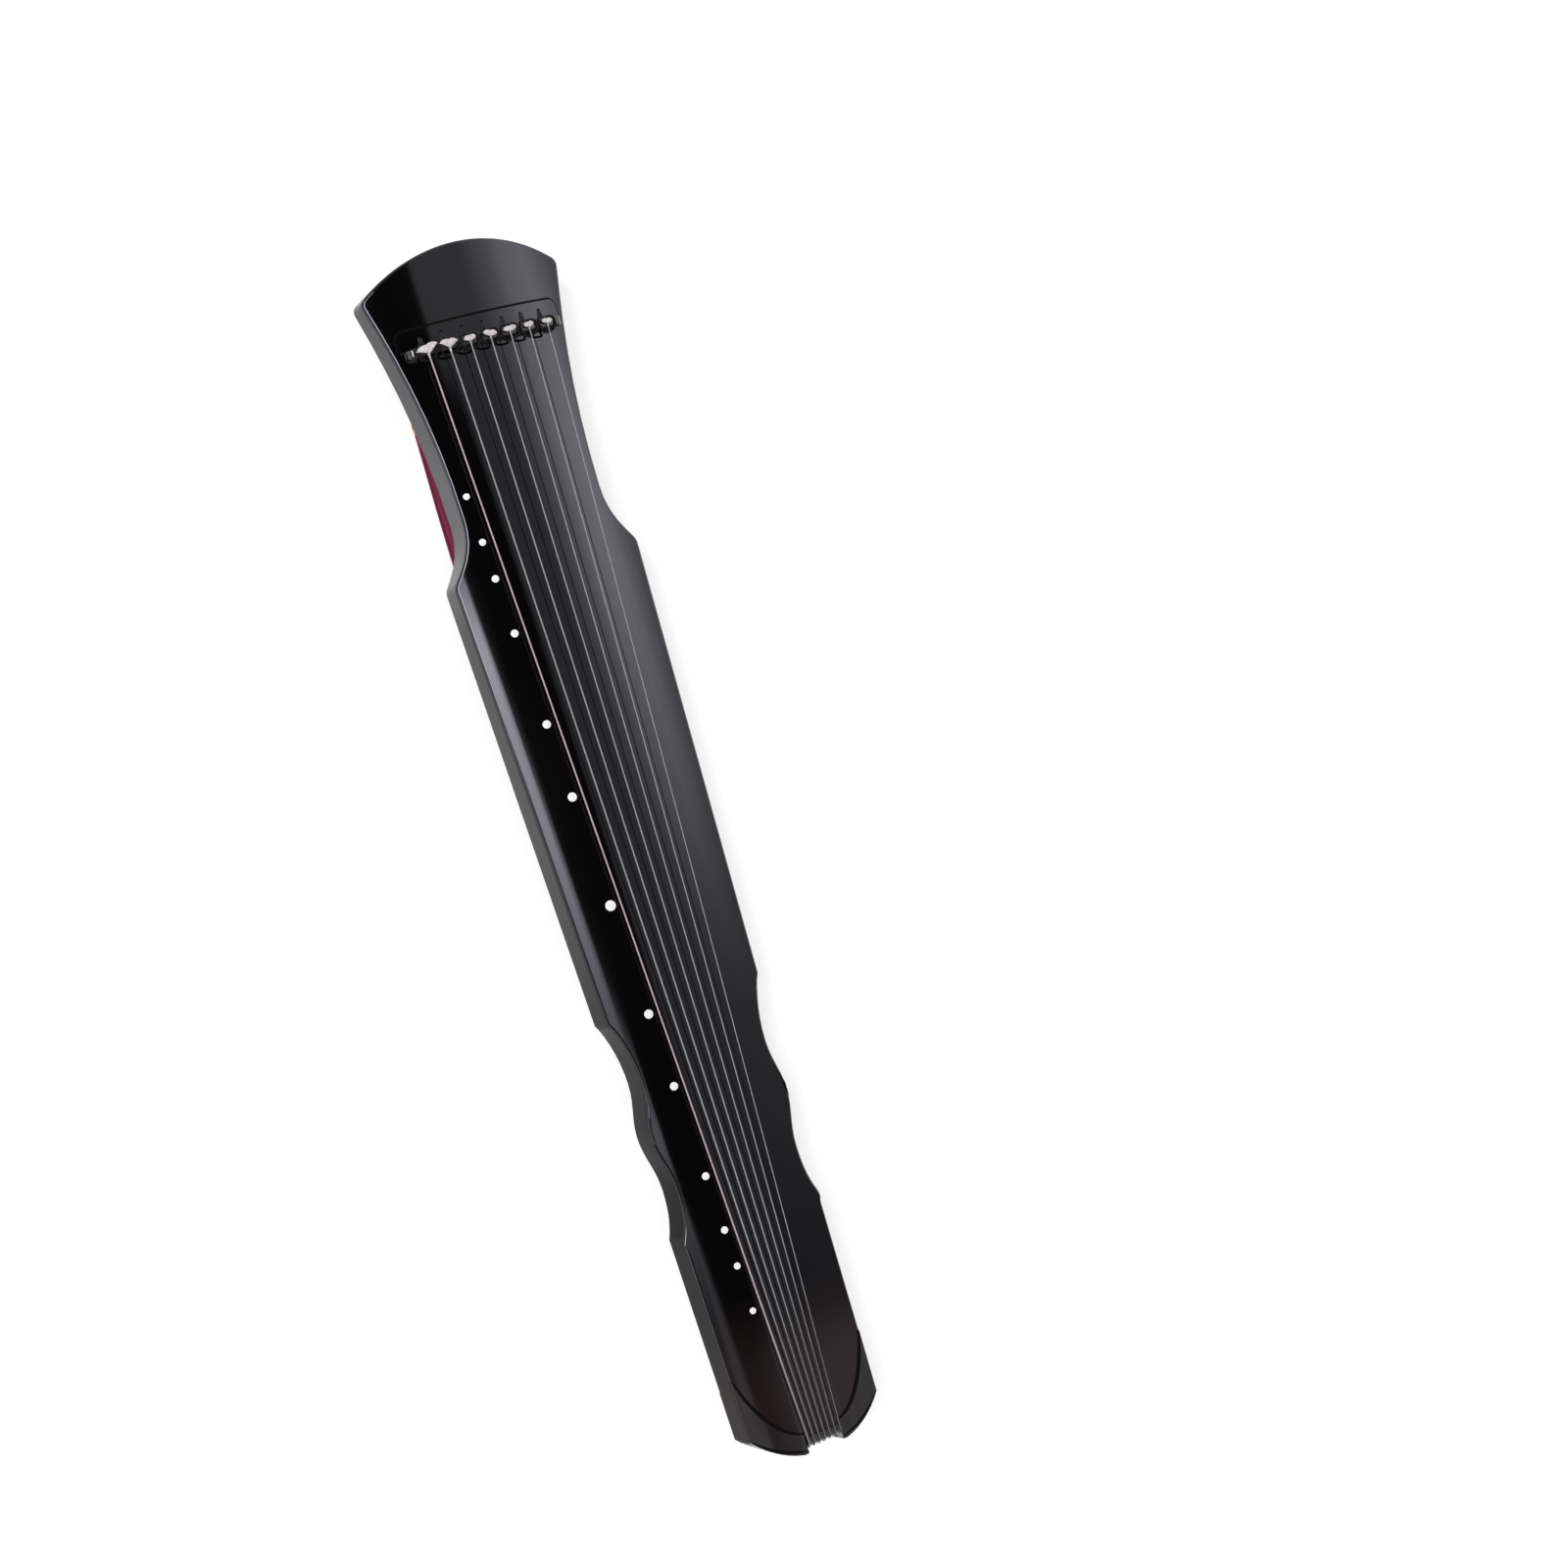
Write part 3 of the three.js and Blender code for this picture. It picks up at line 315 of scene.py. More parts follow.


# %% [markdown]
# ## The finishes
# The body is raw lacquer, rubbed smooth in many coats: nearly black, with a clear and slightly wavy shine,
# whose cool tint is painted light for a bluish window, and a little browner towards the tail. The side
# walls are less polished: glossy beside the head, duller along the middle, and nearly matt towards the
# tail. The fittings are dark hardwood. Pegs and feet are turned from orange brown jujube wood. The strings
# are steel wound with smooth nylon, the thickest a little warmer in tone, and all are painted darker
# towards the tail: painted shade, for the duller reflections there.

# %% Finishes
# The cool specular tint is painted light: it stands in for a bluish window in the reflections.
lacquer = node_material(
    "black_lacquer_finish", 9, (0.35, 1, 1), [(0.0011, 0.0011, 0.0013), (0.0026, 0.0021, 0.0021)],
    (0.05, 0.08), bump=0.04, bump_distance=0.0004, detail=3, Coat_Weight=0.35, Coat_Roughness=0.03,
    Specular_Tint=(0.86, 0.83, 1.0, 1),
)
wall_lacquer = lacquer.copy()
wall_lacquer.name = "wall_lacquer_finish"
# Both lacquers turn a little browner towards the tail.
for material in (lacquer, wall_lacquer):
    tail_tint_and_shade(material, (0.0135, 0.0065, 0.0062), -0.45, -0.56)
wall_gloss = [
    (-0.40, 0.025), (-0.31, 0.02), (-0.25, 0.05), (-0.19, 0.04), (-0.14, 0.05), (-0.08, 0.09),
    (-0.02, 0.13), (0.04, 0.165), (0.25, 0.185), (0.31, 0.55), (0.38, 0.50), (0.44, 0.36), (0.50, 0.31),
]
tree = wall_lacquer.node_tree
gloss = grey_ramp(tree, along_body(tree), wall_gloss[0][0], wall_gloss[-1][0], wall_gloss)
tree.links.new(gloss, tree.nodes["Principled BSDF"].inputs["Specular IOR Level"])
tree.nodes["Principled BSDF"].inputs["Coat Weight"].default_value = 0.0
raw_wood = node_material(
    "raw_wood_finish", 60, (0.08, 1, 1), [(0.030, 0.017, 0.010), (0.075, 0.045, 0.027)], (0.6, 0.8),
    bump=0.3,
)
dark_wood = node_material(
    "dark_wood_finish", 90, (0.2, 0.2, 1), [(0.003, 0.0025, 0.0027), (0.009, 0.006, 0.0055)], (0.12, 0.2),
    bump=0.06, Coat_Weight=0.5, Coat_Roughness=0.06,
)
crown_wood = node_material(
    "crown_wood_finish", 70, (0.12, 1, 1), [(0.007, 0.005, 0.0052), (0.016, 0.012, 0.0125)], (0.14, 0.24),
    bump=0.08, Coat_Weight=0.6, Coat_Roughness=0.06,
)
turned_wood = node_material(
    "turned_wood_finish", 160, (1, 1, 0.15), [(0.30, 0.058, 0.014), (0.62, 0.17, 0.055)], (0.25, 0.4),
    bump=0.15, Coat_Weight=0.6, Coat_Roughness=0.12,
)
nacre = node_material(
    "nacre_finish", 260, (1, 1, 1), [(0.80, 0.83, 0.81), (0.95, 0.92, 0.91)], (0.12, 0.28), bump=0.05,
    distortion=1.5, Coat_Weight=1.0, Coat_Roughness=0.05,
)
winding = {"bump": 0.12, "bump_distance": 0.0001, "pattern": "WAVE", "detail": 0, "Metallic": 0.15}
wound_string = node_material(
    "wound_string_finish", 900, (1, 0, 0), [(0.27, 0.27, 0.285), (0.34, 0.34, 0.36)], (0.38, 0.46),
    **winding,
)
warm_string = node_material(
    "warm_string_finish", 700, (1, 0, 0), [(0.40, 0.33, 0.34), (0.50, 0.42, 0.44)], (0.38, 0.46),
    **winding,
)
# Painted shade: the strings turn darker towards the tail, standing in for the duller reflections there.
tail_tint_and_shade(wound_string, (0.130, 0.130, 0.136), -0.40, -0.53)
tail_tint_and_shade(warm_string, (0.225, 0.190, 0.196), -0.48, -0.58)
knot_cloth = node_material(
    "knot_cloth_finish", 900, (0.3, 1, 1), [(0.38, 0.33, 0.345), (0.74, 0.69, 0.70)], (0.5, 0.7), bump=0.5,
    bump_distance=0.0004, Sheen_Weight=0.2,
)
black_silk = node_material(
    "black_silk_finish", 1200, (1, 1, 1), [(0.003, 0.003, 0.0035), (0.010, 0.009, 0.010)], (0.6, 0.8),
    bump=0.4, Specular_IOR_Level=0.2,
)
# Painted sheen: a greyer copy of the black silk, for the stems of the loops.
painted_sheen_silk = node_material(
    "worn_silk_finish", 1200, (1, 1, 1), [(0.012, 0.012, 0.014), (0.026, 0.025, 0.028)], (0.5, 0.7),
    bump=0.4, Specular_IOR_Level=0.3,
)
crimson_silk = node_material(
    "crimson_silk_finish", 700, (0.02, 1, 1), [(0.085, 0.002, 0.016), (0.300, 0.010, 0.070)], (0.4, 0.6),
    bump=0.5, Specular_IOR_Level=0.35, Sheen_Weight=0.15, Sheen_Tint=(1.0, 0.25, 0.45, 1),
)
gold_thread = node_material(
    "gold_thread_finish", 1500, (1, 1, 1), [(0.62, 0.30, 0.07), (0.90, 0.58, 0.20)], (0.35, 0.5), bump=0.5,
    Metallic=0.4,
)
print("finishes:", len(bpy.data.materials))

# %% [markdown]
# ## Tassels, and the cords that carry them
# A silk cord comes out of the bore of each peg, is held by a knot, and runs to the cap of a long tassel.
# When the guqin lies on a table the tassels lie back under it. Each tassel is one textile piece, but it
# has parts that look different: black cord, crimson cap, three bars of gold thread, and a skirt of loose
# threads with ragged ends. The cord is two strands twisted together, and it runs on inside the skirt as
# its core.

# %% Tassel sizes
tassel_cord_lengths = [0.062, 0.063, 0.067, 0.058, 0.059, 0.055, 0.061]
tassel_lengths = [0.560, 0.562, 0.558, 0.582, 0.556, 0.546, 0.540]
tassel_side_steps = [0.0026, 0.0008, 0, 0, 0, 0, 0]
tassel_height = 0.011
tassel_width = 0.0182
cap_width = 0.015
cap_length = 0.010
band_length = 0.020
bar_step = 0.0052
thread_count = 110
thread_steps = 14
thread_room = 0.0012
thread_lap = 0.003
cord_diameter = 0.0022
knot_z = 0.0027


def twisted(route, offset, turn_length, strands=2):
    """Routes of strands that wind round one route."""
    routes = []
    for strand in range(strands):
        walked = 0.0
        points = []
        for i, point in enumerate(route):
            ahead = (route[min(i + 1, len(route) - 1)] - route[max(i - 1, 0)]).normalized()
            if i:
                walked += (point - route[i - 1]).length
            side = ahead.cross(Vector((0, 1, 0)))
            side = side.normalized() if side.length > 0.2 else ahead.cross(Vector((1, 0, 0))).normalized()
            other = ahead.cross(side)
            angle = 2 * math.pi * (walked / turn_length + strand / strands)
            points.append(point + (side * math.cos(angle) + other * math.sin(angle)) * offset)
        routes.append(points)
    return routes


# %% Tassel parts


def oval(x, y, width, height, sides, low):
    """An upright oval ring of points whose lowest edge is at low."""
    ring = []
    for side in range(sides):
        angle = 2 * math.pi * (side + 0.5) / sides
        ring.append((x, y + math.cos(angle) * width / 2, low + (1 + math.sin(angle)) * height / 2))
    return ring


def lofted(rings):
    """A closed skin over rings of points."""
    bm = bmesh.new()
    loops = []
    for ring in rings:
        verts = [bm.verts.new(point) for point in ring]
        edges = [bm.edges.new((verts[i - 1], verts[i])) for i in range(len(verts))]
        loops.append(edges)
    for near, far in zip(loops, loops[1:]):
        bmesh.ops.bridge_loops(bm, edges=near + far)
    bmesh.ops.contextual_create(bm, geom=loops[0])
    bmesh.ops.contextual_create(bm, geom=loops[-1])
    bmesh.ops.recalc_face_normals(bm, faces=bm.faces)
    return to_mesh(bm)


def make_tassel(number):
    """Cord, cap, gold bars and skirt of one tassel."""
    y = lane_y(number)
    body = f"tassel_{number}"
    rng = random.Random(number)
    cap_x = peg_row_x - tassel_cord_lengths[number - 1]
    band_x = cap_x - cap_length
    skirt_x = band_x - band_length
    skirt_length = tassel_lengths[number - 1] - cap_length - band_length
    lying_y = y + tassel_side_steps[number - 1]
    lying_z = gap + cord_diameter / 2
    cord_route = smooth_route([
        (peg_row_x - 0.0024, y, knot_z),
        (peg_row_x - 0.0045, y, knot_z - 0.0003),
        (peg_row_x - 0.008, y, lying_z + 0.0002),
        (peg_row_x - 0.020, y + 0.0004, lying_z),
        (peg_row_x - 0.035, (y + lying_y) / 2 - 0.0004, lying_z),
        (cap_x + 0.007, lying_y, lying_z),
        (cap_x - 0.001, lying_y, lying_z + 0.0033),
        (band_x, lying_y, gap + tassel_height * 0.5),
        (skirt_x - skirt_length * 0.1, lying_y, gap + tassel_height * 0.48),
        (skirt_x - skirt_length * 0.4, lying_y, gap + tassel_height * 0.43),
        (skirt_x - skirt_length * 0.9, lying_y, gap + tassel_height * 0.36),
    ], 0.0012)
    for point in cord_route:
        point.z = max(point.z, lying_z)
    length = sum((b - a).length for a, b in zip(cord_route, cord_route[1:]))
    cord_mesh = tube_mesh(twisted(cord_route, 0.00052, 0.005), 0.00056, rings=1)
    cord_mesh.materials.append(black_silk)
    cord_mesh.materials.append(crimson_silk)
    for face in cord_mesh.polygons:
        face.material_index = 1 if face.center.x < cap_x else 0
    cord_piece = show(cord_mesh, f"tassel_cord_{number}", body, black_silk)

    knot_route = [
        (peg_row_x - 0.0014 * math.cos(t), y + 0.0026 * math.sin(2 * t), knot_z + 0.0011 * math.sin(t))
        for t in [2 * math.pi * step / 24 for step in range(25)]
    ]
    knot_mesh = tube_mesh([[Vector(point) for point in knot_route]], 0.0011, rings=2)
    knot_piece = show(knot_mesh, f"tassel_knot_{number}", body, black_silk)

    cap_ovals = [
        (cap_x + 0.0012, 0.004, 0.0035, 0.0006),
        (cap_x, cap_width * 0.72, tassel_height * 0.72, 0.0006),
        (cap_x - 0.0015, cap_width * 0.92, tassel_height * 0.93, 0.0004),
        (cap_x - 0.004, cap_width, tassel_height, gap),
        (skirt_x + 0.002, cap_width, tassel_height, gap),
        (skirt_x - 0.004, cap_width * 0.98, tassel_height, gap),
    ]
    cap_mesh = lofted([oval(x, lying_y, width, height, 20, low) for x, width, height, low in cap_ovals])
    cap_piece = show(cap_mesh, f"tassel_cap_{number}", body, crimson_silk, smooth=60)

    bars = []
    first_bar_x = band_x + 0.0015
    bar_width, bar_height, bar_low = cap_width - 0.0003, tassel_height - 0.0006, gap + 0.0003
    for bar in range(3):
        ring = oval(first_bar_x - bar * bar_step, lying_y, bar_width, bar_height, 28, bar_low)
        bars.append([Vector(point) for point in ring + ring[:1]])
    stitches = oval(first_bar_x, lying_y, bar_width, bar_height, 14, bar_low)
    for index, (x, side, high) in enumerate(stitches):
        top = x - (0 if index % 2 else bar_step)
        bars.append([Vector((top, side, high)), Vector((top - bar_step, side, high))])
    bars_mesh = tube_mesh(bars, 0.00065)
    bars_piece = show(bars_mesh, f"tassel_gold_{number}", body, gold_thread)

    routes, radii = [], []
    for thread in range(thread_count):
        angle = 2 * math.pi * (thread + rng.random()) / thread_count
        depth = rng.choice((1, 1, 0.82, 0.62))
        reach = skirt_length * (rng.uniform(0.955, 1.0) if rng.random() < 0.8 else rng.uniform(0.9, 0.97))
        drift = rng.uniform(-0.0012, 0.0012)
        phase = rng.uniform(0, 6.28)
        points, widths = [], []
        for step in range(thread_steps + 1):
            t = step / thread_steps
            ragged = max(0, t - 0.9)
            full_width = tassel_width * (0.86 + 0.14 * min(1, t * 6)) - thread_room
            full_height = tassel_height * (1 - 0.3 * t) - thread_room
            width = full_width * depth * (1 - 0.35 * ragged * 10)
            height = full_height * depth
            across = math.cos(angle) * width / 2 + drift * t + 0.00035 * math.sin(phase + t * 9)
            low = gap + thread_room / 2 + full_height * (1 - depth) / 2
            x = skirt_x + thread_lap - (reach + thread_lap) * t
            points.append(Vector((x, lying_y + across, low + (1 + math.sin(angle)) * height / 2)))
            widths.append(1 - 0.55 * ragged * 10)
        routes.append(points)
        radii.append(widths)
    skirt_mesh = tube_mesh(routes, 0.00058, rings=0, radii=radii)
    skirt_piece = show(
        skirt_mesh, f"tassel_skirt_{number}", body, crimson_silk, (f"tassel_{number}",),
    )
    return length


for number in range(1, 8):
    cord_length = make_tassel(number)
    print("tassel", number, "cord", round(cord_length * 1000, 1), "mm")

# %% [markdown]
# ## The lacquered boards
# The body is two boards under one skin of lacquer. The CAD boards have the right shape, with their hollow
# inside, but knife sharp edges. A copy has its doubled points merged and its flat pieces joined, and then
# the outer edges are bevelled to the small round that many coats of lacquer leave. The face is given the
# exact normals of its arch, because polished black shows every facet. The wood inside stays raw.

# %% Copying and softening a CAD solid
upright = 0.3
skin_depth = 0.0035


def copy_of(node):
    """A merged copy of a CAD node, with flat pieces joined into single faces."""
    bm = bmesh.new()
    bm.from_mesh(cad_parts[node].data)
    bmesh.ops.remove_doubles(bm, verts=bm.verts, dist=2e-6)
    bmesh.ops.dissolve_limit(bm, angle_limit=math.radians(0.4), verts=bm.verts, edges=bm.edges)
    bm.normal_update()
    return bm


def soften(bm, edges, radius, steps=3, clamp=False):
    """Rounds edges with the bevel operator."""
    bmesh.ops.bevel(
        bm, geom=list(edges), offset=radius, offset_type="OFFSET", affect="EDGES", segments=steps,
        profile=0.5, material=-1, clamp_overlap=clamp, loop_slide=True,
    )
    bm.normal_update()


def on_face(face):
    """True for a piece of the arched face."""
    middle = face.calc_center_median()
    from_axis = math.hypot(middle.y, middle.z - face_centre_z)
    return face.normal.z > 0.85 and abs(from_axis - face_radius) < 0.0004


def faces_out(face):
    """True for an upright wall that looks away from the body."""
    middle = face.calc_center_median()
    if abs(face.normal.z) > upright:
        return False
    if abs(middle.y) > 0.03:
        return face.normal.y * middle.y > 0
    return face.normal.x * middle.x > 0


def below_arch(face):
    """How deep a face lies under the arch of the face."""
    middle = face.calc_center_median()
    return face_radius - math.hypot(middle.y, middle.z - face_centre_z)


def board_finish(face, top):
    """Place of a board face's finish in the list of lacquer, raw wood and wall lacquer."""
    if abs(face.normal.z) < upright:
        if faces_out(face):
            return 2
        return 0 if below_arch(face) < skin_depth else 1
    if top:
        return 1 if face.normal.z < -upright and below_arch(face) > skin_depth else 0
    return 1 if face.normal.z > 0.5 else 0


def on_arch(face, reach=0.9985):
    """True for a face that lies square on a cylinder about the axis of the face."""
    middle = face.calc_center_median()
    return face.normal.dot(Vector((0, middle.y, middle.z - face_centre_z)).normalized()) > reach


def polish(mesh, arch_faces):
    """Exact normals on the arch, and area weighted ones elsewhere, so that bevels shade softly."""
    around = [[] for vertex in mesh.vertices]
    for face in mesh.polygons:
        for vertex in face.vertices:
            around[vertex].append(face)
    normals = [Vector((0, 0, 1))] * len(mesh.loops)
    for face in mesh.polygons:
        for loop in face.loop_indices:
            index = mesh.loops[loop].vertex_index
            place = mesh.vertices[index].co
            if face.index in arch_faces:
                normals[loop] = Vector((0, place.y, place.z - face_centre_z)).normalized()
                continue
            total = Vector()
            for other in around[index]:
                if other.normal.dot(face.normal) > 0.6:
                    total += other.normal * other.area
            normals[loop] = total.normalized() if total.length else face.normal.copy()
    mesh.normals_split_custom_set([tuple(normal) for normal in normals])


def show_board(board, name, node, arch_faces):
    """Gives every face of a softened board its finish and shows the board."""
    for face in board.faces:
        face.material_index = board_finish(face, node == "top_board")
    board_mesh = to_mesh(board)
    for material in (lacquer, raw_wood, wall_lacquer):
        board_mesh.materials.append(material)
    show(board_mesh, name, "root", lacquer, (node,), smooth=0)
    polish(board_mesh, arch_faces)
    print(name, "has", len(board_mesh.polygons), "faces,", len(arch_faces), "of them on the arch")


# %% Top board
def rim_of(board):
    """The edges between the outer walls of the top board and its arched face."""
    low_z = seam_z + 0.0005
    walls = {face for face in board.faces if faces_out(face) and min(v.co.z for v in face.verts) < low_z}
    return [edge for edge in board.edges if any(face in walls for face in edge.link_faces)
            and any(on_face(face) for face in edge.link_faces)]


board = copy_of("top_board")
rim_verts = list({vertex for edge in rim_of(board) for vertex in edge.verts})
bmesh.ops.remove_doubles(board, verts=rim_verts, dist=0.0008)
board.normal_update()
soften(board, rim_of(board), 0.003, 4)
arch_faces = {index for index, face in enumerate(board.faces) if on_face(face) and on_arch(face)}
show_board(board, "lacquered_top", "top_board", arch_faces)

# %% Bottom board
seam_fill = 0.00028
board = copy_of("bottom_board")
for vertex in board.verts:
    if vertex.co.z > seam_z - 0.0001:
        vertex.co.z += seam_fill
lower_rim = []
for edge in board.edges:
    low = all(vertex.co.z < underside_z + 0.0001 for vertex in edge.verts)
    if low and any(abs(face.normal.z) < upright for face in edge.link_faces):
        lower_rim.append(edge)
soften(board, lower_rim, 0.0012, clamp=True)
show_board(board, "lacquered_bottom", "bottom_board", set())

# %% [markdown]
# ## Hardwood fittings
# The bridge, the strip with the string holes, the gums, the crescents at the tail corners, the peg guards
# and the plate under the tail are small hardwood parts with crisp but touchable edges. Each is a softened
# copy of its solid.

# %% Fittings
fittings = [
    ("bridge", "bridge_bar", dark_wood, "dark_wood", 0.0016),
    ("peg_hole_strip", "string_hole_strip", lacquer, "dark_wood", 0.0003),
    ("peg_plate", "peg_bearing_plate", dark_wood, "dark_wood", 0.0003),
    ("dragon_gum", "dragon_gum_bar", dark_wood, "dark_wood", 0.0006),
    ("lower_gum", "lower_gum_bar", dark_wood, "dark_wood", 0.0006),
    ("tail_support", "tail_plate", lacquer, "black_lacquer", 0.0006),
    ("tail_crown_left", "crown_left", crown_wood, "dark_wood", 0.0018),
    ("tail_crown_right", "crown_right", crown_wood, "dark_wood", 0.0018),
    ("peg_guard_left", "guard_left", lacquer, "black_lacquer", 0.0012),
    ("peg_guard_right", "guard_right", lacquer, "black_lacquer", 0.0012),
    ("sound_post_round", "round_post", raw_wood, "bare_wood", 0.0005),
    ("sound_post_square", "square_post", raw_wood, "bare_wood", 0.0005),
]
sharp_angle = math.radians(35)
for node, name, material, slot_name, radius in fittings:
    fitting = copy_of(node)
    sharp = [edge for edge in fitting.edges if edge.is_manifold and edge.calc_face_angle(0) > sharp_angle]
    soften(fitting, sharp, radius, clamp=True)
    arched = {index for index, face in enumerate(fitting.faces)
              if node in ("bridge", "peg_hole_strip") and on_arch(face)}
    if "crown" in node:
        for face in fitting.faces:
            face.material_index = 1 if faces_out(face) else 0
    fitting_mesh = to_mesh(fitting)
    fitting_mesh.materials.append(material)
    if "crown" in node:
        fitting_mesh.materials.append(wall_lacquer)
    show(fitting_mesh, name, "root", material, (node,), smooth=0)
    polish(fitting_mesh, arched)
    print(name, len(fitting_mesh.polygons), "faces")

# %% [markdown]
# ## Dark joint lines
# A dull black line runs round the strip, and two more follow each crescent: one where it meets the face,
# widest in its middle, and one along its outer edge. They are seams filled with lacquer paste. Each is a
# tube along the seam, pressed almost flat onto the arch, so only a thin band of it is left.

# %% Joint lines
joint_paste = node_material(
    "joint_paste_finish", 300, (1, 1, 1), [(0.0005, 0.0005, 0.0005), (0.0014, 0.0010, 0.0010)],
    (0.75, 0.9), Specular_IOR_Level=0.1,
)
joint_offset = 0.0012


def pressed_line(name, outline, halves, rise):
    """A flat line on the arch along (x, y) points, with its half width at each point."""
    route = [Vector((x, y, arch_z(face_radius, y))) for x, y in outline]
    mesh = tube_mesh([route], 1.0, rings=2, radii=[halves])
    for vertex in mesh.vertices:
        base = arch_z(face_radius, vertex.co.y)
        vertex.co.z = base + rise + (vertex.co.z - base) * 0.15
    show(mesh, name, "root", joint_paste)
    print(name, "runs over", len(outline), "points")


low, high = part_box("peg_hole_strip")
joint_half = (high[1] - low[1]) / 2 + 0.0008
corner = 0.008
outline = [(bridge_head_x + 0.001, joint_half), (high[0] - corner, joint_half)]
for step in range(1, 8):
    angle = step / 8 * math.pi / 2
    corner_x = high[0] + joint_offset - corner + corner * math.sin(angle)
    outline.append((corner_x, joint_half - corner + corner * math.cos(angle)))
for step in range(30):
    outline.append((high[0] + joint_offset, (joint_half - corner) * (1 - step / 30)))
outline += [(x, -y) for x, y in reversed(outline[:-1])]
pressed_line("strip_joint", outline, [0.0014] * len(outline), 0.0002)

# %% Lines of the crescents
low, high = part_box("tail_crown_left")
tail_x, crown_start_x, nose_y, crown_edge_y = low[0], high[0], low[1], high[1]
crown_length = 0.092
line_end_half = 0.0005
inner_ends = [
    Vector((tail_x + 0.019, nose_y)), Vector((tail_x + crown_length * 0.27, crown_edge_y * 0.63)),
    Vector((tail_x + crown_length * 0.71, crown_edge_y * 0.9)),
    Vector((crown_start_x, crown_edge_y - 0.001)),
]
outer_ends = [
    Vector((tail_x + 0.0295, crown_edge_y - 0.0030)), Vector((tail_x + 0.0090, crown_edge_y * 0.70)),
    Vector((tail_x + 0.0030, nose_y)),
]
for side, side_name in ((1, "left"), (-1, "right")):
    for line_name, ends, widest in (("inner", inner_ends, 0.0018), ("outer", outer_ends, 0.0013)):
        outline, halves = [], []
        for step in range(25):
            t = step / 24
            if line_name == "inner":
                place = (
                    ends[0] * (1 - t) ** 3 + ends[1] * 3 * t * (1 - t) ** 2
                    + ends[2] * 3 * t * t * (1 - t) + ends[3] * t ** 3
                )
                place = place + Vector((joint_offset, 0))
            else:
                place = ends[0] * (1 - t) ** 2 + ends[1] * 2 * t * (1 - t) + ends[2] * t * t
            outline.append((place.x, place.y * side))
            halves.append(line_end_half + (widest - line_end_half) * math.sin(math.pi * t) ** 0.6)
        pressed_line(f"crown_{line_name}_line_{side_name}", outline, halves, 0.0008)

# %% [markdown]
# ## Turned pegs and feet
# A peg is turned on a lathe: a bulb at the end that the fingers hold, a waist, and a shaft that goes up
# into the slot. The feet are turned posts that the strings are wound on. The spin operator sweeps a
# profile round an axis, just as the lathe does.

# %% Turning


def turned(profile, x, y, sides=40):
    """A closed turned solid from (radius, height) pairs in mm that start and end on its bore or axis."""
    bm = bmesh.new()
    verts = [bm.verts.new((radius / 1000, 0, height / 1000)) for radius, height in profile]
    edges = [bm.edges.new((verts[i], verts[i + 1])) for i in range(len(verts) - 1)]
    if profile[0][0] > 0:
        edges.append(bm.edges.new((verts[-1], verts[0])))
    bmesh.ops.spin(
        bm, geom=verts + edges, cent=(0, 0, 0), axis=(0, 0, 1), angle=2 * math.pi, steps=sides,
        use_merge=True,
    )
    bmesh.ops.remove_doubles(bm, verts=bm.verts, dist=1e-6)
    bmesh.ops.recalc_face_normals(bm, faces=bm.faces)
    bmesh.ops.translate(bm, verts=bm.verts, vec=(x, y, 0))
    return to_mesh(bm)


peg_profile = [
    (2.3, 6.2), (3.2, 5.5), (5.2, 5.4), (6.6, 5.9), (7.6, 7.0), (8.6, 8.9), (9.1, 11.4), (9.15, 13.6),
    (8.9, 16.6), (8.2, 19.5), (7.0, 22.6), (6.45, 25.0), (6.5, 27.4), (6.9, 28.9), (8.2, 29.8),
    (8.95, 31.0), (9.1, 32.4), (9.05, 36.0), (8.8, 37.0), (7.0, 37.4), (6.4, 38.4), (6.3, 39.9),
    (2.3, 39.9),
]
foot_profile = [
    (0, 0.4), (4, 0.25), (9, 0), (11.5, 0.3), (13.0, 1.3), (13.7, 3.0), (13.75, 25.3), (14.6, 25.6),
    (16.3, 25.9), (16.5, 26.6), (16.5, 27.7), (8, 27.7), (8, 54), (0, 54),
]
for number in range(1, 8):
    node = f"peg_{number}"
    mesh = turned(peg_profile, peg_row_x, lane_y(number))
    show(mesh, f"turned_peg_{number}", node, turned_wood, (node,), smooth=50)
for side, name in ((1, "left"), (-1, "right")):
    mesh = turned(foot_profile, foot_x, foot_y * side, 48)
    node = f"goose_foot_{name}"
    show(mesh, f"turned_foot_{name}", "root", turned_wood, (node,), smooth=50)
print("turned 7 pegs and 2 feet")

# %% [markdown]
# ## Markers
# Thirteen discs of mother of pearl show where the string is touched for a harmonic. They are set flush
# into the face along the side of the first string, the largest in the middle. Each is a thin disc with
# softened edges, tilted to lie square on the arch.

# %% Markers
hui_diameters = [6.5, 6.8, 7.2, 7.6, 8.2, 9, 10.5, 9, 8.2, 7.6, 7.2, 6.8, 6.5]
for index, diameter in enumerate(hui_diameters):
    node = f"hui_{index + 1:02d}"
    low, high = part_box(node)
    middle = (Vector(low) + Vector(high)) / 2
    out = Vector((0, middle.y, middle.z - face_centre_z)).normalized()
    centre = Vector((middle.x, 0, face_centre_z)) + out * (face_radius - 0.0004)
    disc = bmesh.new()
    bmesh.ops.create_cone(
        disc, cap_ends=True, segments=40, radius1=diameter / 2000, radius2=diameter / 2000, depth=0.001,
    )
    soften(disc, [e for e in disc.edges if e.calc_face_angle(0) > 1], 0.00012, 2, True)
    turn = out.to_track_quat("Z", "Y").to_matrix().to_4x4()
    bmesh.ops.transform(disc, matrix=Matrix.Translation(centre) @ turn, verts=disc.verts)
    show(to_mesh(disc), f"marker_{index + 1:02d}", "root", nacre, (node,), smooth=30)
print("set 13 markers")

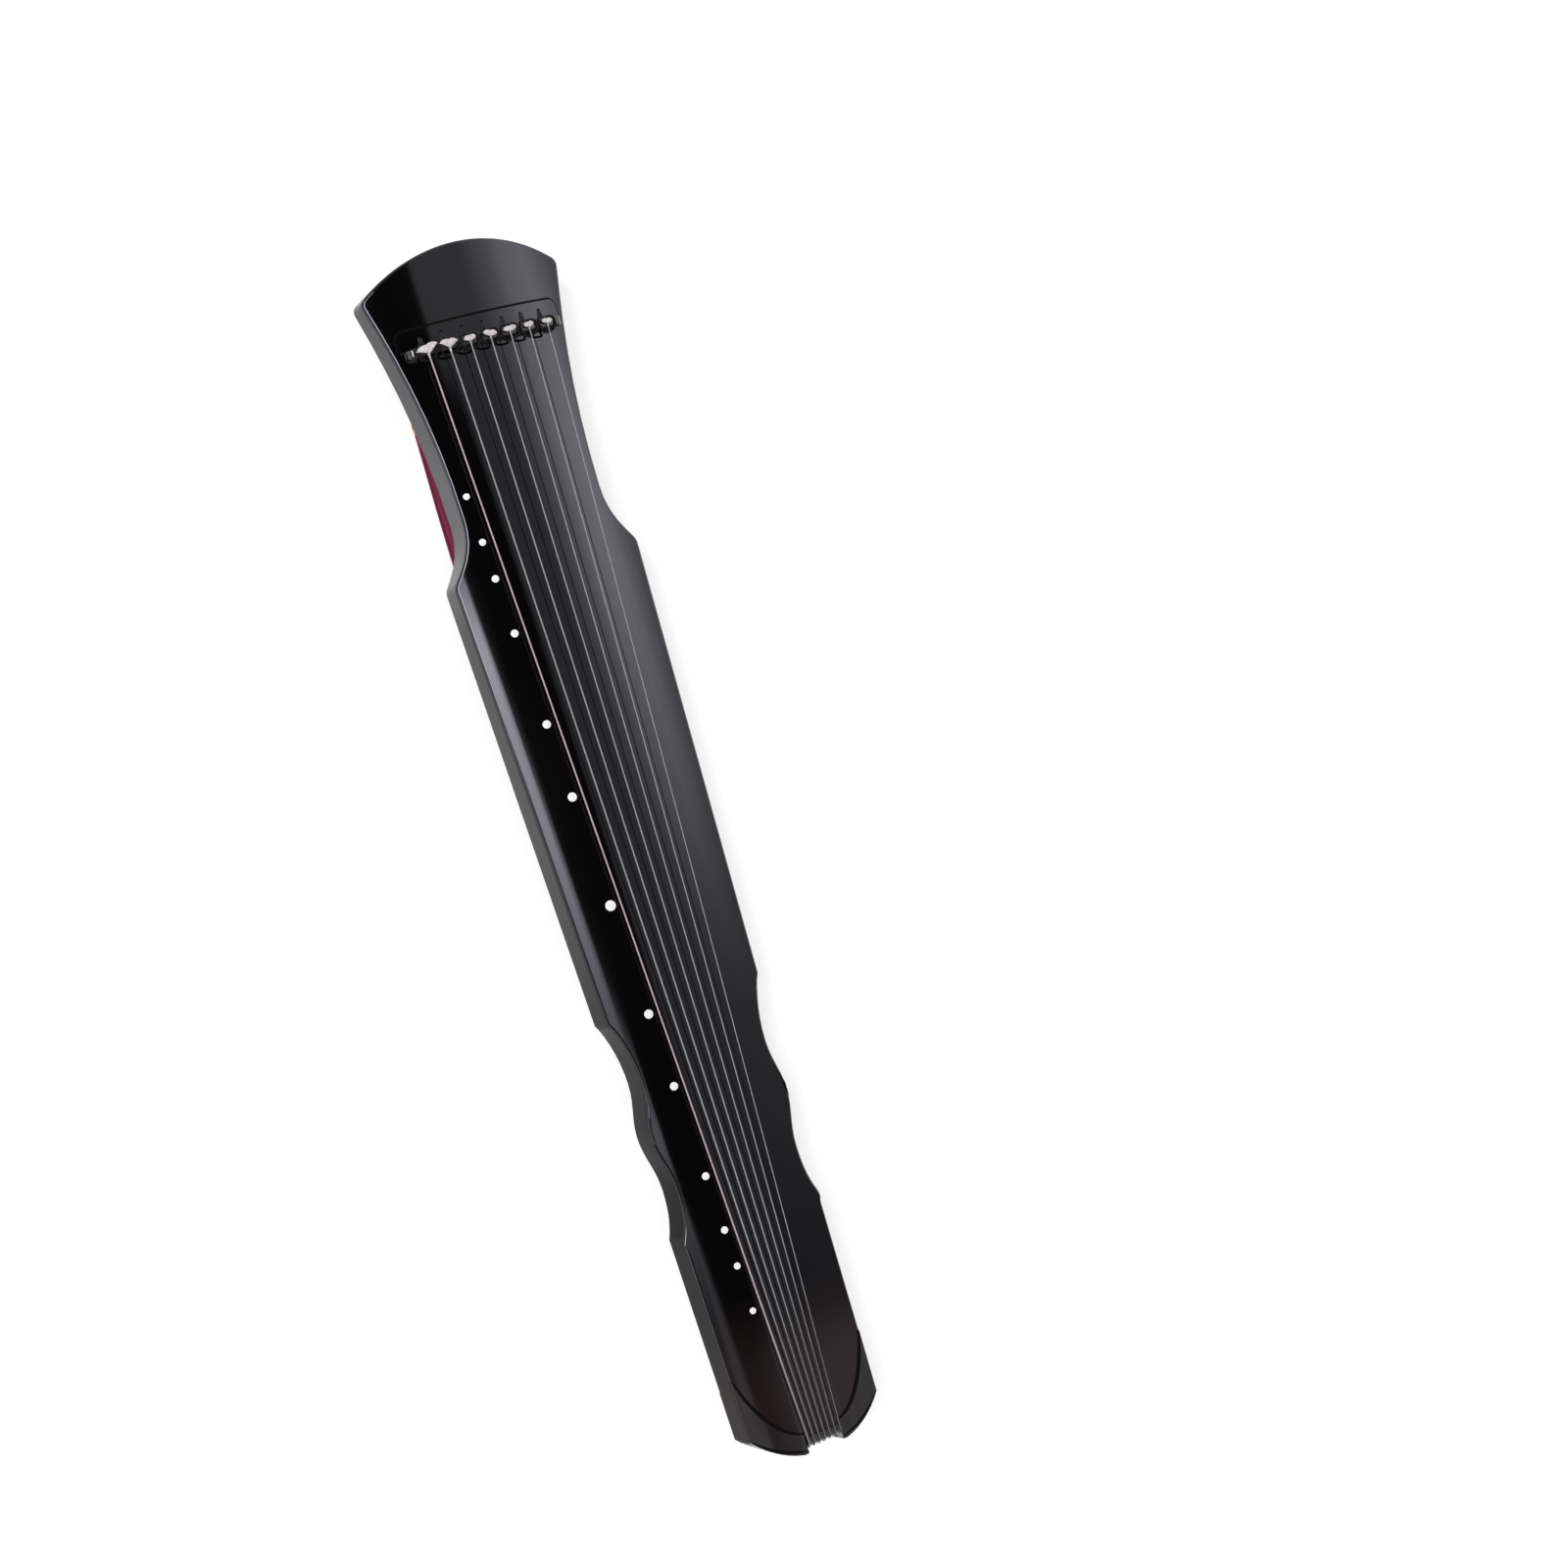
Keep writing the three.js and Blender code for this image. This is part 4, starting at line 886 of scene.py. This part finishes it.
# %% [markdown]
# ## Strings
# Each string starts in a knot on the bridge, runs over the face, turns over the dragon gum at the tail,
# goes round the lower gum, and runs back under the body to one of the two feet, where it is wound on,
# below the collar of the foot. The route is the CAD's, with finer bends.

# %% String routes
turns_on_foot = {1: 2, -1: 3}
steps_per_turn = 36
return_y = 0.013
return_spacing = 0.0021
collar_height = 0.002
lowest_turn_z = 0.003


def bend(centre_x, centre_z, radius, start, y, steps=10):
    """A quarter turn in the upright plane along the body."""
    points = []
    for step in range(steps + 1):
        angle = start + step / steps * math.pi / 2
        points.append(Vector((centre_x + radius * math.cos(angle), y, centre_z + radius * math.sin(angle))))
    return points


def string_route(number):
    """Centre line of a string from the bridge to its last turn on a foot."""
    diameter = string_diameters[number - 1]
    side = 1 if number <= 4 else -1
    numbers = [n for n in range(7, 0, -1) if (n <= 4) == (number <= 4)]
    clear = diameter / 2 + gap
    head_y = lane_y(number)
    back_y = return_y * side + ((numbers[0] + numbers[-1]) / 2 - number) * return_spacing
    route = [Vector((bridge_tail_x + 0.0045, head_y, arch_z(bridge_radius, head_y) + clear + 0.0006))]
    route.append(Vector((bridge_tail_x + 0.0005, head_y, arch_z(bridge_radius, head_y) + clear)))
    bend_radius = gum_radius + clear
    tail_y = lane_y(number, tail_spacing)
    route += bend(notch_x + gum_radius, gum_top_z - gum_radius, bend_radius, math.pi / 2, tail_y)
    route += bend(notch_x + gum_radius, lower_gum_z + gum_radius, bend_radius, math.pi, back_y)
    wind_radius = foot_radius + clear
    middle = Vector((foot_x, foot_y * side, 0))
    leave = route[-1]
    away = Vector((leave.x - middle.x, leave.y - middle.y))
    start = math.atan2(away.y, away.x) + side * math.acos(wind_radius / away.length)
    turns = turns_on_foot[side]
    top = underside_z - gap - collar_height - gap
    wound = sum(string_diameters[n - 1] * (turns + 1) for n in numbers)
    spare = (top - lowest_turn_z - wound) / (len(numbers) * (turns + 1) - 1)
    for n in numbers[:numbers.index(number)]:
        top -= (string_diameters[n - 1] + spare) * (turns + 1)
    for step in range(turns * steps_per_turn + 1):
        angle = start + side * step / steps_per_turn * 2 * math.pi
        x = middle.x + wind_radius * math.cos(angle)
        y = middle.y + wind_radius * math.sin(angle)
        route.append(Vector((x, y, top - diameter / 2 - step / steps_per_turn * (diameter + spare))))
    route.append(route[-1] + (route[-1] - route[-2]).normalized() * diameter)
    return route


# %% [markdown]
# ## Knots on the bridge
# The end of a string is wrapped in pale cloth and tied in a flat bow, which keeps it from slipping
# through the silk. The two thick strings have the largest bows, shaped like a fan that narrows down to
# the string. The others are small ovals, and every bow lies at its own slant. A bow is one skin over
# ovals from its left end to its right end, with a thin sleeve of cloth on the string.

# %% Bows
bow_sizes = [(0.0220, 0.0100), (0.0180, 0.0094), (0.0125, 0.0062), (0.0140, 0.0066), (0.0145, 0.0060),
             (0.0110, 0.0058), (0.0120, 0.0056)]
bow_slants = [-11, 4, -3, 12, -4, -6, 2]
bow_x = (bridge_tail_x + bridge_head_x) / 2


def bow_mesh(number):
    """A bow that lies across the top of the bridge."""
    width, depth = bow_sizes[number - 1]
    slant = math.radians(bow_slants[number - 1])
    fan = 1 if number <= 2 else 0.25
    rings = []
    for step in range(17):
        u = -1 + step / 8
        full = max(1 - abs(u) ** 2.6, 0.03) ** 0.5
        head_edge = depth * (0.5 * full - 0.10 * math.exp(-16 * u * u))
        tail_edge = -depth * (0.5 * full * (1 - 0.75 * fan * abs(u)) - 0.16 * fan * abs(u))
        across = u * width / 2
        mid_x, half = (head_edge + tail_edge) / 2, (head_edge - tail_edge) / 2
        tall = 0.0004 + 0.0011 * full * (1 - 0.18 * math.exp(-16 * u * u))
        ring = []
        for corner in range(14):
            angle = 2 * math.pi * corner / 14
            ahead = mid_x + half * math.cos(angle)
            place_y = lane_y(number) + math.cos(slant) * across - math.sin(slant) * ahead
            place_x = bow_x + 0.0008 + math.cos(slant) * ahead + math.sin(slant) * across
            base_z = arch_z(bridge_radius, place_y) + 0.0014
            ring.append((place_x, place_y, base_z + (1 + math.sin(angle)) * tall))
        rings.append(ring)
    return lofted(rings)


def sleeve_mesh(number):
    """The cloth that narrows from the bow down to the string."""
    width, depth = bow_sizes[number - 1]
    y = lane_y(number)
    string_z = arch_z(bridge_radius, y) + string_diameters[number - 1] / 2 + gap
    thickness = string_diameters[number - 1] / 2
    reach = 0.009 if number <= 2 else 0.005
    rings = []
    for step in range(7):
        t = step / 6
        half = thickness + 0.00015 + (depth * 0.16 - thickness) * (1 - t) ** 1.6
        tall = thickness + 0.00015 + (0.0011 - thickness / 2) * (1 - t) ** 1.6
        ring = []
        for corner in range(12):
            angle = 2 * math.pi * corner / 12
            ring.append((
                bow_x + 0.001 - reach * t, y + math.cos(angle) * half,
                max(string_z + math.sin(angle) * tall, string_z - thickness - 0.00015) + 0.0004 * (1 - t),
            ))
        rings.append(ring)
    return lofted(rings)


print("bows are", [round(width * 1000, 1) for width, depth in bow_sizes], "mm wide")

# %% Strings with their bows
for number in range(1, 8):
    material = warm_string if number == 1 else wound_string
    string = tube_mesh([string_route(number)], string_diameters[number - 1] / 2, rings=3)
    mesh = joined([string, bow_mesh(number), sleeve_mesh(number)], [material, knot_cloth, knot_cloth])
    show(mesh, f"wound_string_{number}", "root", material, (f"string_{number}",), smooth=60)
print("strung 7 strings")

# %% [markdown]
# ## Silk loops
# A loop of twisted black silk comes up through each peg and its hole in the strip, climbs the bridge, opens
# into a wide ring round the bow, and hangs over the other side of the bridge, where the string holds it.
# It is one long loop, so each side of it is a twisted strand. The stems are painted greyer: a painted
# sheen.

# %% Silk loops


def ring_point(x, y, across, lift):
    """A point of a silk ring, measured from the top of the bridge."""
    return (x, y + across, arch_z(bridge_radius, y + across) + lift)


for number in range(1, 8):
    y = lane_y(number)
    face_z = arch_z(face_radius, y) + 0.0025
    strands = []
    for side in (1, -1):
        route = smooth_route([
            (peg_row_x, y + side * 0.0008, 0.0146),
            (peg_row_x, y + side * 0.0008, face_z - 0.010),
            (peg_row_x, y + side * 0.0008, face_z - 0.004),
            (peg_row_x - 0.0006, y + side * 0.0009, face_z + 0.0003),
            (peg_row_x - 0.0030, y + side * 0.0011, face_z + 0.0010),
            (bridge_head_x + 0.0026, y + side * 0.0016, face_z + 0.0018),
            ring_point(bridge_head_x + 0.0016, y, side * 0.0032, -0.0052),
            ring_point(bridge_head_x + 0.0012, y, side * 0.0062, -0.0010),
            ring_point(bridge_head_x - 0.0012, y, side * 0.0082, 0.0011),
            ring_point(bow_x, y, side * 0.0091, 0.0011),
            ring_point(bridge_tail_x + 0.0006, y, side * 0.0088, 0.0010),
            ring_point(bridge_tail_x - 0.0018, y, side * 0.0076, -0.0014),
            ring_point(bridge_tail_x - 0.0040, y, side * 0.0048, -0.0044),
            ring_point(bridge_tail_x - 0.0048, y, side * 0.0004, -0.0054),
        ], 0.0009)
        strands.append(tube_mesh(twisted(route, 0.00062, 0.005), 0.00074, rings=2))
    mesh = joined(strands, [black_silk, painted_sheen_silk])
    # Painted sheen: the stems on the head side of the bridge take the greyer silk.
    for face in mesh.polygons:
        face.material_index = 1 if face.center.x > bridge_head_x + 0.0014 else 0
    node = f"silk_loop_{number}"
    show(mesh, f"silk_twist_{number}", "root", black_silk, (node,), smooth=60)
print("tied 7 silk loops")

# %% [markdown]
# ## Studio
# The instrument lies on a white sweep. Black lacquer is drawn by what it mirrors, so the light is mostly
# one large soft window on the far long side, bright low down and fading towards the tail, in a dim grey
# wall that ends at a dark ceiling. That leaves the near half of the face black, with a clear edge, and
# lets a grey sheen rise towards the far side. A second window on the near side draws a light band along
# the near edge of the face, and a fine line on the rounded rim. A soft sun lights the pearl, the strings
# and the silk. The floor keeps the shadow, and a part of its white is its own, for the camera and for
# mirrored rays.

# %% Floor
floor_shape = bmesh.new()
bmesh.ops.create_grid(floor_shape, x_segments=1, y_segments=1, size=60)
floor_mesh = to_mesh(floor_shape)
floor = bpy.data.objects.new("floor", floor_mesh)
bpy.context.scene.collection.objects.link(floor)
floor_material = bpy.data.materials.new("white_sweep")
floor_material.use_nodes = True
tree = floor_material.node_tree
nodes, links = tree.nodes, tree.links
nodes.clear()
rays = nodes.new("ShaderNodeLightPath").outputs
seen = combine(tree, "MAXIMUM", rays["Is Camera Ray"], rays["Is Glossy Ray"], rays["Is Transmission Ray"])
glow = nodes.new("ShaderNodeEmission")
links.new(combine(tree, "MULTIPLY", seen, 0.55), glow.inputs["Strength"])
paper = nodes.new("ShaderNodeBsdfDiffuse")
paper.inputs["Color"].default_value = (0.62, 0.62, 0.62, 1)
both = nodes.new("ShaderNodeAddShader")
links.new(paper.outputs["BSDF"], both.inputs[0])
links.new(glow.outputs["Emission"], both.inputs[1])
output = nodes.new("ShaderNodeOutputMaterial")
links.new(both.outputs["Shader"], output.inputs["Surface"])
floor_mesh.materials.append(floor_material)
print("floor is", round(floor.dimensions.x), "m wide")

# %% World light
world = bpy.data.worlds.new("studio")
bpy.context.scene.world = world
world.use_nodes = True
tree = world.node_tree
nodes, links = tree.nodes, tree.links
nodes.clear()
direction = nodes.new("ShaderNodeTexCoord")
parts = nodes.new("ShaderNodeSeparateXYZ")
links.new(direction.outputs["Generated"], parts.inputs["Vector"])
east, north, height = parts.outputs["X"], parts.outputs["Y"], parts.outputs["Z"]
east_squared = combine(tree, "MULTIPLY", east, east)

window_rows = grey_ramp(tree, north, -1.0, 0.2, [
    (-0.93, 0.2), (-0.87, 0.3), (-0.76, 1.0), (-0.62, 0.8), (-0.56, 0.45), (-0.45, 0.2), (-0.36, 0.0),
])
window_columns = grey_ramp(tree, east, -0.2, 0.9, [
    (-0.09, 0.0), (-0.05, 0.2), (-0.02, 0.45), (0.02, 0.72), (0.06, 1.0), (0.11, 1.0), (0.16, 0.75),
    (0.8, 0.0),
])
window = combine(tree, "MULTIPLY", window_rows, window_columns, 2.2)

ceiling_line = combine(tree, "ADD", north, combine(tree, "MULTIPLY", east, -0.35))
far_wall = grey_ramp(tree, ceiling_line, -1.0, 0.2, [(-1.0, 0.38), (-0.13, 0.38), (-0.115, 0.0)])
low_rows = grey_ramp(tree, north, -1.0, 0.0, [(-1.0, 0.38), (-0.54, 0.38), (-0.42, 0.0)])
low_columns = grey_ramp(tree, east, -0.5, 0.0, [
    (-0.5, 0.7), (-0.18, 0.62), (-0.15, 0.4), (-0.11, 0.1), (-0.08, 0.0),
])
dimmer_wall = combine(tree, "SUBTRACT", far_wall, combine(tree, "MULTIPLY", low_rows, low_columns))
tail_rows = grey_ramp(tree, north, -1.0, 0.2, [(-1.0, 0.22), (-0.2, 0.22), (-0.05, 0.05), (0.2, 0.05)])
tail_columns = grey_ramp(tree, east, -0.5, 0.0, [(-0.5, 1.0), (-0.203, 1.0), (-0.19, 0.0)])
tail_wall = combine(tree, "MULTIPLY", tail_columns, tail_rows)
head_rows = grey_ramp(tree, north, -1.0, 0.2, [(-1.0, 0.52), (0.0, 0.52), (0.03, 0.0)])
head_columns = grey_ramp(tree, east, 0.0, 0.2, [(0.13, 0.0), (0.145, 1.0)])
head_wall = combine(tree, "MULTIPLY", head_rows, head_columns)
walls = combine(tree, "MAXIMUM", combine(tree, "ADD", dimmer_wall, tail_wall), head_wall)

near_line = combine(tree, "ADD", north, combine(tree, "MULTIPLY", east, -0.8))
near_rows = grey_ramp(tree, near_line, 0.0, 1.0, [
    (0.205, 0.0), (0.225, 0.69), (0.245, 0.94), (0.28, 1.0), (0.45, 0.40), (0.7, 0.21), (1.0, 0.18),
])
near_columns = grey_ramp(tree, east, -0.4, 0.4, [
    (-0.3, 0.05), (-0.2, 0.07), (-0.16, 0.10), (-0.12, 0.23), (-0.08, 0.25), (-0.04, 0.50), (0.0, 0.73),
    (0.02, 0.81), (0.045, 1.0), (0.06, 0.84), (0.09, 0.0),
])
near_side = combine(tree, "MULTIPLY", near_rows, near_columns, 6.8)

low_sky = grey_ramp(tree, height, -0.1, 1.0, [(0.0, 0.8), (0.22, 0.8), (0.42, 0.012), (0.9, 0.012)])
end_walls = grey_ramp(tree, east_squared, 0.0, 1.0, [(0.0, 1.0), (0.3, 0.5), (0.6, 0.15), (1.0, 0.12)])
horizon = combine(tree, "MULTIPLY", low_sky, end_walls)
end_lights = grey_ramp(tree, east_squared, 0.0, 1.0, [(0.09, 0.0), (0.25, 0.35), (1.0, 0.25)])
long_sides = combine(tree, "ADD", window, walls)
studio_light = combine(tree, "ADD", long_sides, combine(tree, "ADD", near_side, horizon), end_lights)
light_path = nodes.new("ShaderNodeLightPath")
backdrop = combine(tree, "MAXIMUM", studio_light, light_path.outputs["Is Camera Ray"])
sky = nodes.new("ShaderNodeBackground")
sky.inputs["Color"].default_value = (1, 1, 1, 1)
links.new(backdrop, sky.inputs["Strength"])
output = nodes.new("ShaderNodeOutputWorld")
links.new(sky.outputs["Background"], output.inputs["Surface"])
print("world nodes:", len(nodes))

# %% Soft sun
sun_data = bpy.data.lights.new("near_side_lamp", "SUN")
sun_data.energy = 2.0
sun_data.angle = math.radians(28)
sun = bpy.data.objects.new("near_side_lamp", sun_data)
sun.rotation_mode = "QUATERNION"
sun.rotation_quaternion = Vector((0.25, 0.62, 0.80)).to_track_quat("Z", "Y")
bpy.context.scene.collection.objects.link(sun)
bpy.context.scene.view_settings.view_transform = "Standard"
